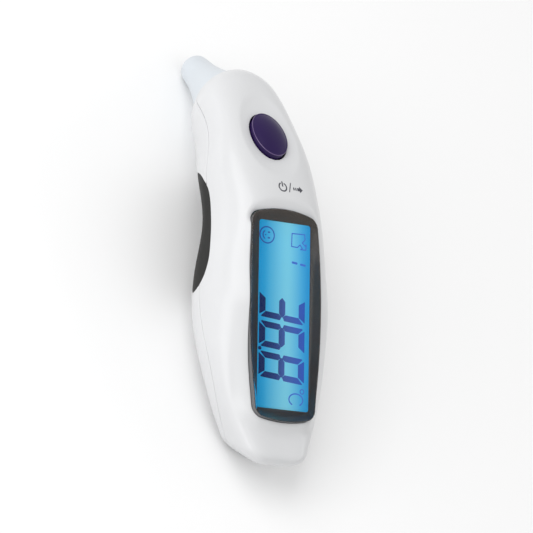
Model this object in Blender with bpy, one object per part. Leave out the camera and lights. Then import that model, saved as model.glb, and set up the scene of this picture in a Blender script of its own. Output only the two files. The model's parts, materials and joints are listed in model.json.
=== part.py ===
"""Digital ear thermometer lying on its back, as a bench assembly of separate closed solids.

Everything is laid out in the device's own frame, in millimetres: x to the right, y from the battery end
towards the probe, z straight out of the display, with the origin under the middle of the display window.
An empty tips that frame back by REST_TILT, so that the probe and the battery cover touch the floor plane.
"""

import math

import bmesh
import bpy
import numpy as np
from mathutils import Matrix, Vector

MM = 0.001
GAP = 0.3
# Half the reach of cutters that run right past the device, and of those that only pass one wall.
FAR = 100
THROUGH = 12
SIDES = (("left", -1), ("right", 1))

# How the device lies: tip about x, then its place over the floor.
REST_TILT = math.radians(15.4)
REST_LIFT = 30.395
REST_BACK = -30.5

# The body is swept along a bent spine. Each row gives, at one station along the spine: how far the spine
# leans back (degrees), the half width, the depth in front of and behind the spine, and how square the
# front is (the exponent of its superellipse).
STATIONS = (-48, -32, -16, 0, 16, 32, 48, 62, 76, 92)
LEAN = (-30, -14, 7, 9, 0, 1.5, 8.5, 25.5, 43, 57)
HALF_WIDTH = (6.5, 16, 20.3, 22, 21.3, 19, 18.4, 15.2, 14.4, 14)
FRONT_DEPTH = (22, 10.7, 11.3, 17.8, 18.3, 17.6, 13.6, 10.8, 13, 16.7)
BACK_DEPTH = (5, 11.6, 14.6, 15.3, 13.2, 10.5, 15.3, 19, 14.7, 10.3)
SQUARENESS = (6, 3.7, 2.73, 2.53, 2.7, 3, 2.81, 3.53, 2.28, 1.85)
BACK_SQUARENESS = 2.33
SPINE_Z = -14.5
BODY_START, START_ROUND = -44.1, 5.4
BODY_END, END_ROUND = 85.4, 10.9
ROUND_POWER = 2.2
CAP_RINGS = 5
BODY_RINGS = 20
HALF_SEGMENTS = 16
SPINE_SAMPLES = 681

WALL = 2.2

# Display window: half width in the middle, how it changes along y, half length, end sagitta.
WINDOW_HALF_WIDTH = 13.5
WINDOW_TAPER, WINDOW_SKEW = 1.5, 0.3
WINDOW_HALF_LENGTH = 34.1
WINDOW_END_SAG = 2.6
WINDOW_CORNER_POWER = 14
WINDOW_SEGMENTS = 40

# Display lens: height of its edge along y (constant, linear and square terms), the radius that rounds the
# edge off, the crown across it, and how deep its skirt goes into the window. It stands proud of the casing
# at the battery end.
LENS_EDGE = (0.7, 0.025, -0.00129)
LENS_ROUND, LENS_CROWN = 0.9, 0.5
LENS_THICKNESS, LENS_SKIRT, LENS_SKIRT_WALL = 1.3, 1, 1.3
BORDER_SHRINK, BORDER_THICKNESS = 1.8, 0.3
SHOWN_HALF_WIDTH = 9.65
SHOWN_HALF_LENGTH = 29.85

# Rails under the long edges of the window: the x of their sides, half length, and z range of their cutter.
RAIL_X = (12.2, 13.9)
RAIL_HALF_LENGTH = 26
RAIL_Z = (-8, 9)
RAIL_DEPTH = 3.4

# Display stack, front faces and thicknesses.
LCD_HALF = (10.5, 30.3)
LCD_TOP, LCD_THICKNESS = -4.8, 1.4
GUIDE_HALF = (10.3, 29)
GUIDE_TOP, GUIDE_THICKNESS = -6.5, 1.2
BOARD_TOP, BOARD_THICKNESS = -8, 0.9
BOARD_HALF_WIDTH = 12
BOARD_LOW, BOARD_HIGH = -24, 41
FRAME_HALF = (11.7, 31.3)
FRAME_WALL = 0.9
FRAME_TOP = -5.8
BOARD_SCREW_AT = (8.5, 37.5)

# Battery bay: its own frame, tipped so that the cells follow the sloping back.
BAY_CENTRE = (0, -12.4, -17.1)
BAY_TILT = math.radians(-6.1)
CELL_RADIUS, CELL_LENGTH = 5.25, 42.9
CELL_NUB_RADIUS, CELL_NUB = 1.9, 0.8
CELL_SPACING = 5.7
CELL_SHIFT = 1.2
TRAY_WALL = 1
TRAY_HALF_WIDTH = 12.2
TRAY_LOW, TRAY_HIGH = -26.2, 24.9

# Battery cover: everything of the back below a plane that slopes up towards the battery end, as far as
# its top edge. COVER_AT is a point of that edge, and the cover slides off along the plane.
COVER_AT = (0, 8.8, -23.2)
COVER_TILT = math.radians(-3.9)

# Screws that hold the two shells, under the battery cover.
SHELL_SCREW_AT = (16.7, -2)
SHELL_POST_END = -14.9
SCREW_TAB_BOTTOM = -16.95
SCREW_TAB_X = (13.7, 20.7)
SCREW_TAB_HALF = 3.2
SCREW_TAB_HOLE_RADIUS = 1.45

# Thumb grip on the back, as an outline in the side view: y, z.
GRIP_OUTLINE = (
    (10, -40), (10, -28), (9.6, -23.3), (8.3, -20.6), (8.8, -17.6), (11.2, -14.4), (14.5, -12.5),
    (18.5, -11.7), (24, -12.2), (32, -13.4), (38, -14.2), (41.5, -15.4), (44.6, -18), (47.4, -21.5),
    (49.4, -28), (50.4, -40),
)
GRIP_POCKET, GRIP_THICKNESS = 1.4, 1.1

# Button: place of its centre on the front of the head, the tilt of its axis, its oval and its travel.
BUTTON_AT = (0, 60, -8.4)
BUTTON_TILT = math.radians(-27)
BUTTON_HALF = (6.4, 8.8)
BUTTON_TOP = 1.5
BUTTON_EDGE = -0.9
BUTTON_FLANGE = 0.9
BUTTON_FLANGE_TOP, BUTTON_FLANGE_THICKNESS = -4.3, 0.9
STEM_RADIUS, STEM_BOTTOM = 2, -6.2
DISH_HALF = (12, 16.5, 1)
DISH_RISE, DISH_CUT = 0.1, 4
PLUNGER_RADIUS, PLUNGER_LENGTH = 1.5, 1.6
SWITCH_SIZE = (6, 6, 3.1)
SWITCH_TOP = -7.3
SWITCH_BOARD_SIZE = (23, 12, 1)
SWITCH_POST_X = 9.2

# Probe: the middle of its tip, how far its axis leans back, and its outline as distance from the tip
# and radius. The bore behind the window holds the sensor barrel.
TIP_AT = (0, 92.3, -53.3)
PROBE_LEAN = math.radians(49.6)
PROBE_OUTLINE = (
    (0, 4), (0.3, 4.45), (1, 4.85), (2.5, 5.1), (4.5, 5.3), (8.6, 5.9), (13.1, 6.85), (16.4, 7.9),
    (19.4, 8.75), (22, 9.6), (23.7, 10.3),
)
COLLAR_RADIUS = 10.3
FLANGE_RADIUS, FLANGE_START, FLANGE_END = 11.6, 26.9, 28.3
PROBE_OPENING_RADIUS = 10.67
PROBE_OPENING = (15.7, 26.7)
PROBE_SEAT_END = 36
# The bore from its wide end to the mouth, as radius and distance from the tip.
PROBE_BORE = ((6.7, FLANGE_END), (5.7, 19.7), (3.3, 11), (3.3, 1))
PROBE_MOUTH_RADIUS, PROBE_MOUTH_DEPTH = 2.7, 1
WINDOW_THICKNESS = 0.5
BARREL_RADIUS, BARREL_BORE, BARREL_LENGTH = 3, 2.4, 22.7
SEAL_AT = 20.3
SENSOR_RADIUS, SENSOR_LENGTH, SENSOR_BASE_RADIUS = 2, 3.4, 2.1
FLEX_HALF_WIDTH, FLEX_THICKNESS = 1.4, 0.25
# The flat cable's path: distances from the tip in the barrel, then y and z through the head.
FLEX_IN_BARREL = (16, 24, 29)
FLEX_IN_HEAD = (
    (68.5, -29.5), (62, -26), (54, -22.5), (47.5, -17), (44, -12.5), (41.8, -11.2), (38.6, -10.9),
)
ROUND_SEGMENTS = 28

COLOURS = {
    "white_plastic": ((0.86, 0.87, 0.88), 0.32, 0),
    "probe_plastic": ((0.84, 0.87, 0.9), 0.3, 0),
    "dark_grip": ((0.055, 0.055, 0.052), 0.6, 0),
    "clear_plastic": ((0.75, 0.8, 0.85), 0.06, 0),
    "black_print": ((0.02, 0.02, 0.022), 0.4, 0),
    "lcd_glass": ((0.05, 0.42, 0.72), 0.15, 0),
    "milky_plastic": ((0.7, 0.82, 0.9), 0.4, 0),
    "purple_plastic": ((0.035, 0.015, 0.1), 0.22, 0),
    "circuit_board": ((0.02, 0.16, 0.07), 0.5, 0),
    "chip_black": ((0.02, 0.02, 0.02), 0.5, 0),
    "rubber": ((0.03, 0.03, 0.03), 0.8, 0),
    "steel": ((0.6, 0.6, 0.6), 0.3, 1),
    "brass": ((0.7, 0.52, 0.22), 0.3, 1),
    "cell_jacket": ((0.1, 0.25, 0.2), 0.35, 0),
    "amber_film": ((0.6, 0.28, 0.03), 0.35, 0),
}


# ---------------------------------------------------------------- scene and materials


def clear_scene():
    for obj in list(bpy.data.objects):
        bpy.data.objects.remove(obj, do_unlink=True)


def make_materials():
    made = {}
    for name, (colour, roughness, metallic) in COLOURS.items():
        material = bpy.data.materials.new(name)
        material.use_nodes = True
        shader = material.node_tree.nodes["Principled BSDF"]
        shader.inputs["Base Color"].default_value = (*colour, 1)
        shader.inputs["Roughness"].default_value = roughness
        shader.inputs["Metallic"].default_value = metallic
        material.diffuse_color = (*colour, 1)
        made[name] = material
    return made


def make_empty(name, place, tilt, parent=None):
    """A frame: an empty at a place in millimetres, turned about x."""
    empty = bpy.data.objects.new(name, None)
    bpy.context.scene.collection.objects.link(empty)
    empty.parent = parent
    empty.location = Vector(place) * MM
    empty.rotation_euler = (tilt, 0, 0)
    return empty


clear_scene()
MATERIALS = make_materials()
DEVICE = make_empty("device_frame", (0, REST_BACK, REST_LIFT), REST_TILT)
BAY = make_empty("bay_frame", BAY_CENTRE, BAY_TILT, DEVICE)
COVER = make_empty("cover_frame", COVER_AT, COVER_TILT, DEVICE)
BUTTON = make_empty("button_frame", BUTTON_AT, BUTTON_TILT, DEVICE)
# The probe frame's z axis runs from the tip into the head.
PROBE = make_empty("probe_frame", TIP_AT, math.pi / 2 - PROBE_LEAN, DEVICE)


# ---------------------------------------------------------------- building blocks


def add_object(name, points, faces, material, frame=DEVICE, at=(0, 0, 0), smooth=True):
    """A mesh object whose points are given in millimetres in its frame, with its origin moved to at."""
    mesh = bpy.data.meshes.new(name)
    local = [(Vector(point) - Vector(at)) * MM for point in points]
    mesh.from_pydata(local, [], faces)
    bm = bmesh.new()
    bm.from_mesh(mesh)
    bmesh.ops.recalc_face_normals(bm, faces=bm.faces)
    bm.to_mesh(mesh)
    bm.free()
    mesh.materials.append(MATERIALS[material])
    if smooth:
        mesh.shade_smooth()
        mesh.set_sharp_from_angle(angle=math.radians(35))
    obj = bpy.data.objects.new(name, mesh)
    bpy.context.scene.collection.objects.link(obj)
    obj.parent = frame
    obj.location = Vector(at) * MM
    return obj


def as_tool(obj):
    """Marks an object as a helper of Booleans, which isn't a piece of the device."""
    obj.hide_render = True
    obj.display_type = "WIRE"
    return obj


def boolean(obj, tool, operation):
    modifier = obj.modifiers.new(f"{operation.lower()}_{tool.name}", "BOOLEAN")
    modifier.operation = operation
    modifier.solver = "EXACT"
    modifier.object = as_tool(tool)


def cut(obj, *tools):
    for tool in tools:
        boolean(obj, tool, "DIFFERENCE")


def join(obj, *tools):
    for tool in tools:
        boolean(obj, tool, "UNION")


def keep_inside(obj, *tools):
    for tool in tools:
        boolean(obj, tool, "INTERSECT")


def bevel(obj, width, segments=2):
    modifier = obj.modifiers.new("bevel", "BEVEL")
    modifier.width = width * MM
    modifier.segments = segments
    modifier.limit_method = "ANGLE"
    modifier.angle_limit = math.radians(50)


def prism(name, outline, low, high, material="steel", frame=DEVICE, axis="z", at=(0, 0, 0)):
    """An outline of (a, b) points drawn out along an axis: x takes (y, z) points, z takes (x, y) points."""
    count = len(outline)
    points = []
    for level in (low, high):
        for a, b in outline:
            points.append((level, a, b) if axis == "x" else (a, b, level))
    faces = [tuple(range(count)), tuple(range(count, 2 * count))]
    for i in range(count):
        j = (i + 1) % count
        faces.append((i, j, j + count, i + count))
    return add_object(name, points, faces, material, frame, at)


def box(name, low, high, material="steel", frame=DEVICE):
    outline = ((low[0], low[1]), (high[0], low[1]), (high[0], high[1]), (low[0], high[1]))
    return prism(name, outline, low[2], high[2], material, frame)


def oval(half_width, half_length, segments=ROUND_SEGMENTS, at=(0, 0)):
    turns = [math.tau * i / segments for i in range(segments)]
    return [(at[0] + half_width * math.cos(t), at[1] + half_length * math.sin(t)) for t in turns]


def turned(name, profile, material, frame=DEVICE, at=(0, 0, 0), segments=ROUND_SEGMENTS, stretch=1):
    """A closed (radius, height) profile turned about the z axis through at; stretch widens it along y."""
    points = []
    rings = []
    for radius, height in profile:
        start = len(points)
        if radius == 0:
            points.append((at[0], at[1], at[2] + height))
            rings.append([start] * segments)
            continue
        for i in range(segments):
            turn = math.tau * i / segments
            x = at[0] + radius * math.cos(turn)
            y = at[1] + radius * stretch * math.sin(turn)
            points.append((x, y, at[2] + height))
        rings.append(list(range(start, start + segments)))
    faces = []
    closed = profile[0][0] > 0
    count = len(rings)
    for k in range(count if closed else count - 1):
        lower, upper = rings[k], rings[(k + 1) % count]
        for i in range(segments):
            j = (i + 1) % segments
            corners = dict.fromkeys((lower[i], lower[j], upper[j], upper[i]))
            if len(corners) > 2:
                faces.append(tuple(corners))
    return add_object(name, points, faces, material, frame, at)


def cylinder(name, radius, low, high, material="steel", frame=DEVICE, at=(0, 0), segments=ROUND_SEGMENTS):
    profile = ((0, low), (radius, low), (radius, high), (0, high))
    return turned(name, profile, material, frame, (at[0], at[1], 0), segments)


def screw(name, frame, at, seat, head_radius, shaft_radius, length):
    """A pan-head screw with a cross recess: its head lies behind its seat, and its shaft runs forwards."""
    head = head_radius * 0.62
    profile = (
        (0, -head), (head_radius * 0.75, -head), (head_radius, -head * 0.6), (head_radius, 0),
        (shaft_radius, 0), (shaft_radius, length - shaft_radius), (0, length),
    )
    obj = turned(name, profile, "steel", frame, (at[0], at[1], seat), 16)
    low, high = seat - head * 1.5, seat - head * 0.5
    slot, width = head_radius * 0.55, head_radius * 0.14
    for suffix, half in (("a", (slot, width)), ("b", (width, slot))):
        corner = (at[0] - half[0], at[1] - half[1], low)
        opposite = (at[0] + half[0], at[1] + half[1], high)
        cut(obj, box(f"{name}_recess_{suffix}", corner, opposite, frame=frame))
    return obj


# ---------------------------------------------------------------- the body's outer form


def natural_spline(values):
    """A smooth function through the values at the stations."""
    x = np.array(STATIONS, float)
    y = np.array(values, float)
    step = np.diff(x)
    count = len(x)
    matrix = np.eye(count)
    right = np.zeros(count)
    for i in range(1, count - 1):
        matrix[i, i - 1:i + 2] = step[i - 1], 2 * (step[i - 1] + step[i]), step[i]
        right[i] = 6 * ((y[i + 1] - y[i]) / step[i] - (y[i] - y[i - 1]) / step[i - 1])
    bend = np.linalg.solve(matrix, right)

    def at(s):
        i = np.clip(np.searchsorted(x, s) - 1, 0, count - 2)
        after, before = x[i + 1] - s, s - x[i]
        cubic = (bend[i] * after**3 + bend[i + 1] * before**3) / (6 * step[i])
        start = (y[i] / step[i] - bend[i] * step[i] / 6) * after
        return cubic + start + (y[i + 1] / step[i] - bend[i + 1] * step[i] / 6) * before

    return at


def running_sum(samples, values):
    steps = (values[1:] + values[:-1]) / 2 * np.diff(samples)
    return np.concatenate([[0], np.cumsum(steps)])


LEAN_AT = natural_spline(LEAN)
WIDTH_AT = natural_spline(HALF_WIDTH)
FRONT_AT = natural_spline(FRONT_DEPTH)
BACK_AT = natural_spline(BACK_DEPTH)
SQUARE_AT = natural_spline(SQUARENESS)
SPINE_S = np.linspace(STATIONS[0], STATIONS[-1], SPINE_SAMPLES)
SPINE_Y = running_sum(SPINE_S, np.cos(np.radians(LEAN_AT(SPINE_S))))
SPINE_Y = SPINE_Y - np.interp(0, SPINE_S, SPINE_Y)
SPINE_DROP = running_sum(SPINE_S, -np.sin(np.radians(LEAN_AT(SPINE_S))))
SPINE_DROP = SPINE_DROP - np.interp(0, SPINE_S, SPINE_DROP)


def round_off(distance, length):
    """1 away from an end, falling to 0 at the end itself."""
    inside = min(max(1 - distance / length, 0), 1)
    return (1 - inside**ROUND_POWER) ** (1 / ROUND_POWER)


def body_point(s, turn, inset=0, lift=0):
    """A point of the body's skin, moved inwards by inset and off the parting line by lift."""
    lean = math.radians(LEAN_AT(s))
    to_start = s - BODY_START - inset
    to_end = BODY_END - inset - s
    cap = round_off(to_start, START_ROUND) * round_off(to_end, END_ROUND)
    side, rise = math.cos(turn), math.sin(turn)
    in_front = rise >= 0 and lift >= 0
    depth = FRONT_AT(s) if in_front else BACK_AT(s)
    power = 2 / (SQUARE_AT(s) if in_front else BACK_SQUARENESS)
    x = (WIDTH_AT(s) - inset) * cap * math.copysign(abs(side) ** power, side)
    out = (depth - inset - abs(lift)) * cap * math.copysign(abs(rise) ** power, rise) + lift
    y = np.interp(s, SPINE_S, SPINE_Y) + out * math.sin(lean)
    z = SPINE_Z + np.interp(s, SPINE_S, SPINE_DROP) + out * math.cos(lean)
    return (x, y, z)


def body_stations(inset):
    """Distances along the spine, closer together where the ends round off."""
    start, end = BODY_START + inset, BODY_END - inset
    turns = [math.pi / 2 * i / CAP_RINGS for i in range(1, CAP_RINGS)]
    first = [start + START_ROUND * (1 - math.cos(t)) for t in turns]
    last = [end - END_ROUND * (1 - math.cos(t)) for t in reversed(turns)]
    middle = list(np.linspace(start + START_ROUND, end - END_ROUND, BODY_RINGS))
    return [start, *first, *middle, *last, end]


def body_solid(name, inset):
    """The whole body as one closed solid, for cutting and clipping."""
    points = []
    rings = []
    segments = 2 * HALF_SEGMENTS
    for s in body_stations(inset):
        start = len(points)
        at_pole = s in (BODY_START + inset, BODY_END - inset)
        if at_pole:
            points.append(body_point(s, 0, inset))
            rings.append([start] * segments)
            continue
        points += [body_point(s, math.tau * i / segments, inset) for i in range(segments)]
        rings.append(list(range(start, start + segments)))
    faces = []
    for lower, upper in zip(rings, rings[1:]):
        for i in range(segments):
            j = (i + 1) % segments
            faces.append(tuple(dict.fromkeys((lower[i], lower[j], upper[j], upper[i]))))
    return add_object(name, points, faces, "white_plastic")


def half_shell(name, side, thickness):
    """The front (side 1) or back (side -1) half of the body, hollow, half a gap off the parting line."""
    points = []
    lift = side * GAP / 2

    def skin(inset):
        rows = []
        for s in body_stations(inset):
            at_pole = s in (BODY_START + inset, BODY_END - inset)
            start = len(points)
            if at_pole:
                points.append(body_point(s, 0, inset, lift))
                rows.append([start] * (HALF_SEGMENTS + 1))
                continue
            turns = [side * math.pi * i / HALF_SEGMENTS for i in range(HALF_SEGMENTS + 1)]
            points.extend(body_point(s, turn, inset, lift) for turn in turns)
            rows.append(list(range(start, start + HALF_SEGMENTS + 1)))
        return rows

    outer, inner = skin(0), skin(thickness)
    faces = []
    for rows in (outer, inner):
        for lower, upper in zip(rows, rows[1:]):
            for i in range(HALF_SEGMENTS):
                faces.append(tuple(dict.fromkeys((lower[i], lower[i + 1], upper[i + 1], upper[i]))))
    for k in range(len(outer) - 1):
        for i in (0, HALF_SEGMENTS):
            corners = (outer[k][i], outer[k + 1][i], inner[k + 1][i], inner[k][i])
            faces.append(tuple(dict.fromkeys(corners)))
    return add_object(name, points, faces, "white_plastic")


def skin_layer(name, outer_inset, inner_inset, material, *clips):
    """The part of the body between two depths under its skin, clipped by solids."""
    obj = body_solid(name, outer_inset)
    obj.data.materials.clear()
    obj.data.materials.append(MATERIALS[material])
    keep_inside(obj, *clips)
    cut(obj, body_solid(f"{name}_core", inner_inset))
    return obj


def window_outline(shrink):
    """The display window: bowed long sides, arched ends and rounded corners."""
    points = []
    for i in range(WINDOW_SEGMENTS):
        turn = math.tau * (i + 0.5) / WINDOW_SEGMENTS
        aim = (math.cos(turn) * WINDOW_HALF_WIDTH, math.sin(turn) * WINDOW_HALF_LENGTH)
        reach, too_far = 0.0, 1.6
        for _ in range(30):
            scale = (reach + too_far) / 2
            x, y = aim[0] * scale, aim[1] * scale
            share = y / WINDOW_HALF_LENGTH
            side = WINDOW_HALF_WIDTH + WINDOW_SKEW * share - WINDOW_TAPER * share**2 - shrink
            end = WINDOW_HALF_LENGTH - WINDOW_END_SAG * (x / WINDOW_HALF_WIDTH) ** 2 - shrink
            inside = abs(x / side) ** WINDOW_CORNER_POWER + abs(y / end) ** WINDOW_CORNER_POWER < 1
            reach, too_far = (scale, too_far) if inside else (reach, scale)
        points.append((aim[0] * reach, aim[1] * reach))
    return points


def grown(outline, distance):
    """A closed outline moved outwards by a distance."""
    middle = np.mean(outline, axis=0)
    count = len(outline)
    moved = []
    for i, point in enumerate(outline):
        before = np.array(outline[i - 1])
        after = np.array(outline[(i + 1) % count])
        along = after - before
        outwards = np.array((along[1], -along[0])) / np.linalg.norm(along)
        if np.dot(outwards, np.array(point) - middle) < 0:
            outwards = -outwards
        moved.append(tuple(np.array(point) + outwards * distance))
    return moved


# ---------------------------------------------------------------- casing


def make_shells():
    front = half_shell("front_shell", 1, WALL)
    rear = half_shell("rear_shell", -1, WALL)
    cover = half_shell("battery_cover", -1, WALL)

    cut(front, prism("window_cutter", window_outline(-GAP / 2), -THROUGH, THROUGH))
    keep_inside(cover, box("cover_keeper", (-FAR, -FAR, -FAR), (FAR, 0, 0), frame=COVER))
    # Cutting along the floor plane leaves the flat that the device rests on.
    cut(cover, box("below_floor", (-FAR, -FAR, -FAR), (FAR, FAR, 0), frame=None))
    cut(rear, box("cover_opening", (-FAR, -FAR, -FAR), (FAR, GAP, GAP), frame=COVER))

    pocket = skin_layer("grip_pocket", -1, GRIP_POCKET, "dark_grip", grip_prism("pocket_outline", 0))
    opening = cylinder("probe_opening", PROBE_OPENING_RADIUS, *PROBE_OPENING, frame=PROBE)
    seat = cylinder("probe_seat", FLANGE_RADIUS + GAP, FLANGE_START - GAP, PROBE_SEAT_END, frame=PROBE)
    for shell in (front, rear):
        cut(shell, pocket, opening, seat)

    join_lens_rails(front)
    join_screw_posts(front)
    join_screw_tabs(rear)
    cut_button_hole(front)


def join_lens_rails(front):
    """Two rails under the long edges of the window, which the display lens rests on."""
    for word, side in SIDES:
        edges = sorted((side * RAIL_X[0], side * RAIL_X[1]))
        low = (edges[0], -RAIL_HALF_LENGTH, RAIL_Z[0])
        strip = box(f"rail_strip_{word}", low, (edges[1], RAIL_HALF_LENGTH, RAIL_Z[1]))
        rail = skin_layer(f"lens_rail_{word}", LENS_THICKNESS + GAP, RAIL_DEPTH, "white_plastic", strip)
        join(front, rail)


def join_screw_posts(front):
    """Posts inside the front shell: two for the shell screws, two for the board and two for the switch."""
    posts = (
        ("shell", DEVICE, SHELL_SCREW_AT, 2.4, 1.3, SHELL_POST_END, 7),
        ("board", DEVICE, BOARD_SCREW_AT, 2.2, 1.2, BOARD_TOP + GAP, 3.5),
        ("switch", BUTTON, (SWITCH_POST_X, 0), 1.9, 1.1, SWITCH_BOARD_TOP + GAP, 4.1),
    )
    for word, side in SIDES:
        for name, frame, (x, y), radius, hole_radius, end, hole_depth in posts:
            at = (side * x, y)
            post = cylinder(f"{name}_post_{word}", radius, end, 0, frame=frame, at=at, segments=16)
            keep_inside(post, body_solid(f"{name}_post_{word}_limit", WALL / 2))
            join(front, post)
            hole_end = end + hole_depth
            hole_name = f"{name}_post_hole_{word}"
            cut(front, cylinder(hole_name, hole_radius, end - 1, hole_end, frame=frame, at=at, segments=16))


def join_screw_tabs(rear):
    """Tabs on the back shell's rim, which the shell screws pull against the posts."""
    x, y = SHELL_SCREW_AT
    top, bottom = SHELL_POST_END - GAP, SCREW_TAB_BOTTOM
    radius = SCREW_TAB_HOLE_RADIUS
    for word, side in SIDES:
        edges = sorted((side * SCREW_TAB_X[0], side * SCREW_TAB_X[1]))
        low = (edges[0], y - SCREW_TAB_HALF, bottom)
        tab = box(f"screw_tab_{word}", low, (edges[1], y + SCREW_TAB_HALF, top))
        join(rear, tab)
        hole = cylinder(f"screw_tab_hole_{word}", radius, bottom - 1, top + 1, at=(side * x, y), segments=16)
        cut(rear, hole)


def cut_button_hole(front):
    """A shallow oval dish, and the hole that the button comes through."""
    stretch = DISH_HALF[1] / DISH_HALF[0]
    dish = turned("button_dish", dish_profile(), "white_plastic", BUTTON, segments=32, stretch=stretch)
    hole = prism(
        "button_hole", oval(BUTTON_HALF[0] + GAP, BUTTON_HALF[1] + GAP, 32), -6, 6, frame=BUTTON
    )
    cut(front, dish, hole)


def dish_profile():
    steps = 10
    rise = [math.pi * i / steps - math.pi / 2 for i in range(steps + 1)]
    reach = [DISH_HALF[2] if t < 0 else DISH_CUT for t in rise]
    profile = [(DISH_HALF[0] * math.cos(t), DISH_RISE + r * math.sin(t)) for t, r in zip(rise, reach)]
    profile[0] = (0, profile[0][1])
    profile[-1] = (0, profile[-1][1])
    return profile


def grip_prism(name, shrink):
    outline = grown(GRIP_OUTLINE, -shrink)
    return prism(name, outline, -30, 30, axis="x")


def make_grip():
    inset = GRIP_POCKET - GAP - GRIP_THICKNESS
    outline = grip_prism("grip_outline", GAP)
    return skin_layer("thumb_grip", inset, inset + GRIP_THICKNESS, "dark_grip", outline)


# ---------------------------------------------------------------- display stack


def front_height(x, y):
    """Height of the body's front over a point."""
    low, high = BODY_START + START_ROUND, BODY_END - END_ROUND
    for _ in range(30):
        s = (low + high) / 2
        square = SQUARE_AT(s)
        share = min(abs(x) / WIDTH_AT(s), 0.99)
        out = FRONT_AT(s) * (1 - share**square) ** (1 / square)
        lean = math.radians(LEAN_AT(s))
        reached = np.interp(s, SPINE_S, SPINE_Y) + out * math.sin(lean)
        low, high = (s, high) if reached < y else (low, s)
    return SPINE_Z + np.interp(s, SPINE_S, SPINE_DROP) + out * math.cos(lean)


def lens_height(x, y):
    """Height of the lens's outer face, before its edge rounds off."""
    edge = LENS_EDGE[0] + LENS_EDGE[1] * y + LENS_EDGE[2] * y**2
    return edge + LENS_ROUND + LENS_CROWN * (1 - (x / WINDOW_HALF_WIDTH) ** 2)


def ringed(name, rings, material):
    """A closed body from rings of as many points each; a ring of one point closes an end."""
    count = max(len(ring) for ring in rings)
    points = []
    numbers = []
    for ring in rings:
        start = len(points)
        points += ring
        numbers.append(list(range(start, start + count)) if len(ring) > 1 else [start] * count)
    faces = []
    ends_meet = len(rings[0]) > 1
    for k in range(len(rings) if ends_meet else len(rings) - 1):
        upper, lower = numbers[k], numbers[(k + 1) % len(rings)]
        for i in range(count):
            j = (i + 1) % count
            faces.append(tuple(dict.fromkeys((upper[i], upper[j], lower[j], lower[i]))))
    return add_object(name, points, faces, material)


def lens_ring(shrink, drop, scale=1):
    """Points on the lens's outline, moved inwards by shrink and below its outer face by drop."""
    flat = [(x * scale, y * scale) for x, y in window_outline(shrink)]
    return [(x, y, lens_height(x, y) - drop) for x, y in flat]


def make_lens():
    """A crowned face with a rounded shoulder, and a skirt that goes down into the window."""
    edge = GAP / 2
    foot = []
    for x, y in window_outline(edge):
        foot.append(min(front_height(x, y) - LENS_SKIRT, lens_height(x, y) - LENS_THICKNESS - GAP))
    inner_foot = window_outline(edge + LENS_SKIRT_WALL)
    rings = [[(0, 0, lens_height(0, 0))]]
    rings += [lens_ring(edge + LENS_ROUND, 0, scale) for scale in (0.35, 0.7, 1)]
    for turn in (math.pi / 6, math.pi / 3, math.pi / 2):
        shrink = edge + LENS_ROUND * (1 - math.sin(turn))
        rings.append(lens_ring(shrink, LENS_ROUND * (1 - math.cos(turn))))
    rings.append([(x, y, z) for (x, y), z in zip(window_outline(edge), foot)])
    rings.append([(x, y, z) for (x, y), z in zip(inner_foot, foot)])
    rings += [lens_ring(edge + LENS_SKIRT_WALL, LENS_THICKNESS, scale) for scale in (1, 0.7, 0.35)]
    rings.append([(0, 0, lens_height(0, 0) - LENS_THICKNESS)])
    ringed("display_lens", rings, "clear_plastic")


def make_border():
    """The printed frame under the lens, open over what the display shows."""
    outline = window_outline(BORDER_SHRINK)
    shown = []
    for x, y in outline:
        scale = min(SHOWN_HALF_WIDTH / abs(x), SHOWN_HALF_LENGTH / abs(y))
        shown.append((x * scale, y * scale))
    top = LENS_THICKNESS + GAP
    bottom = top + BORDER_THICKNESS
    rings = []
    for flat, drop in ((shown, top), (outline, top), (outline, bottom), (shown, bottom)):
        rings.append([(x, y, lens_height(x, y) - drop) for x, y in flat])
    ringed("lens_border", rings, "black_print")


def make_display():
    make_lens()
    make_border()
    bottom = LCD_TOP - LCD_THICKNESS
    low = (-LCD_HALF[0], -LCD_HALF[1], bottom)
    box("lcd_panel", low, (*LCD_HALF, LCD_TOP), "lcd_glass")
    guide_low = (-GUIDE_HALF[0], -GUIDE_HALF[1], GUIDE_TOP - GUIDE_THICKNESS)
    box("light_guide", guide_low, (*GUIDE_HALF, GUIDE_TOP), "milky_plastic")
    frame_bottom = BOARD_TOP + GAP
    low = (-FRAME_HALF[0], -FRAME_HALF[1], frame_bottom)
    frame = box("lcd_frame", low, (*FRAME_HALF, FRAME_TOP), "white_plastic")
    hole = (FRAME_HALF[0] - FRAME_WALL, FRAME_HALF[1] - FRAME_WALL + 0.2)
    cut(frame, box("lcd_frame_hole", (-hole[0], -hole[1], -THROUGH), (*hole, 0)))
    gap_y = GUIDE_HALF[1] + GAP
    strip_low = (-GUIDE_HALF[0], gap_y, frame_bottom)
    box("zebra_connector", strip_low, (GUIDE_HALF[0], gap_y + 1, bottom - GAP), "rubber")
    for word, side in SIDES:
        low = (side * 5 - 1.6, -gap_y - 1, frame_bottom)
        box(f"backlight_led_{word}", low, (side * 5 + 1.6, -gap_y, bottom - GAP - 0.2), "milky_plastic")


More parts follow.
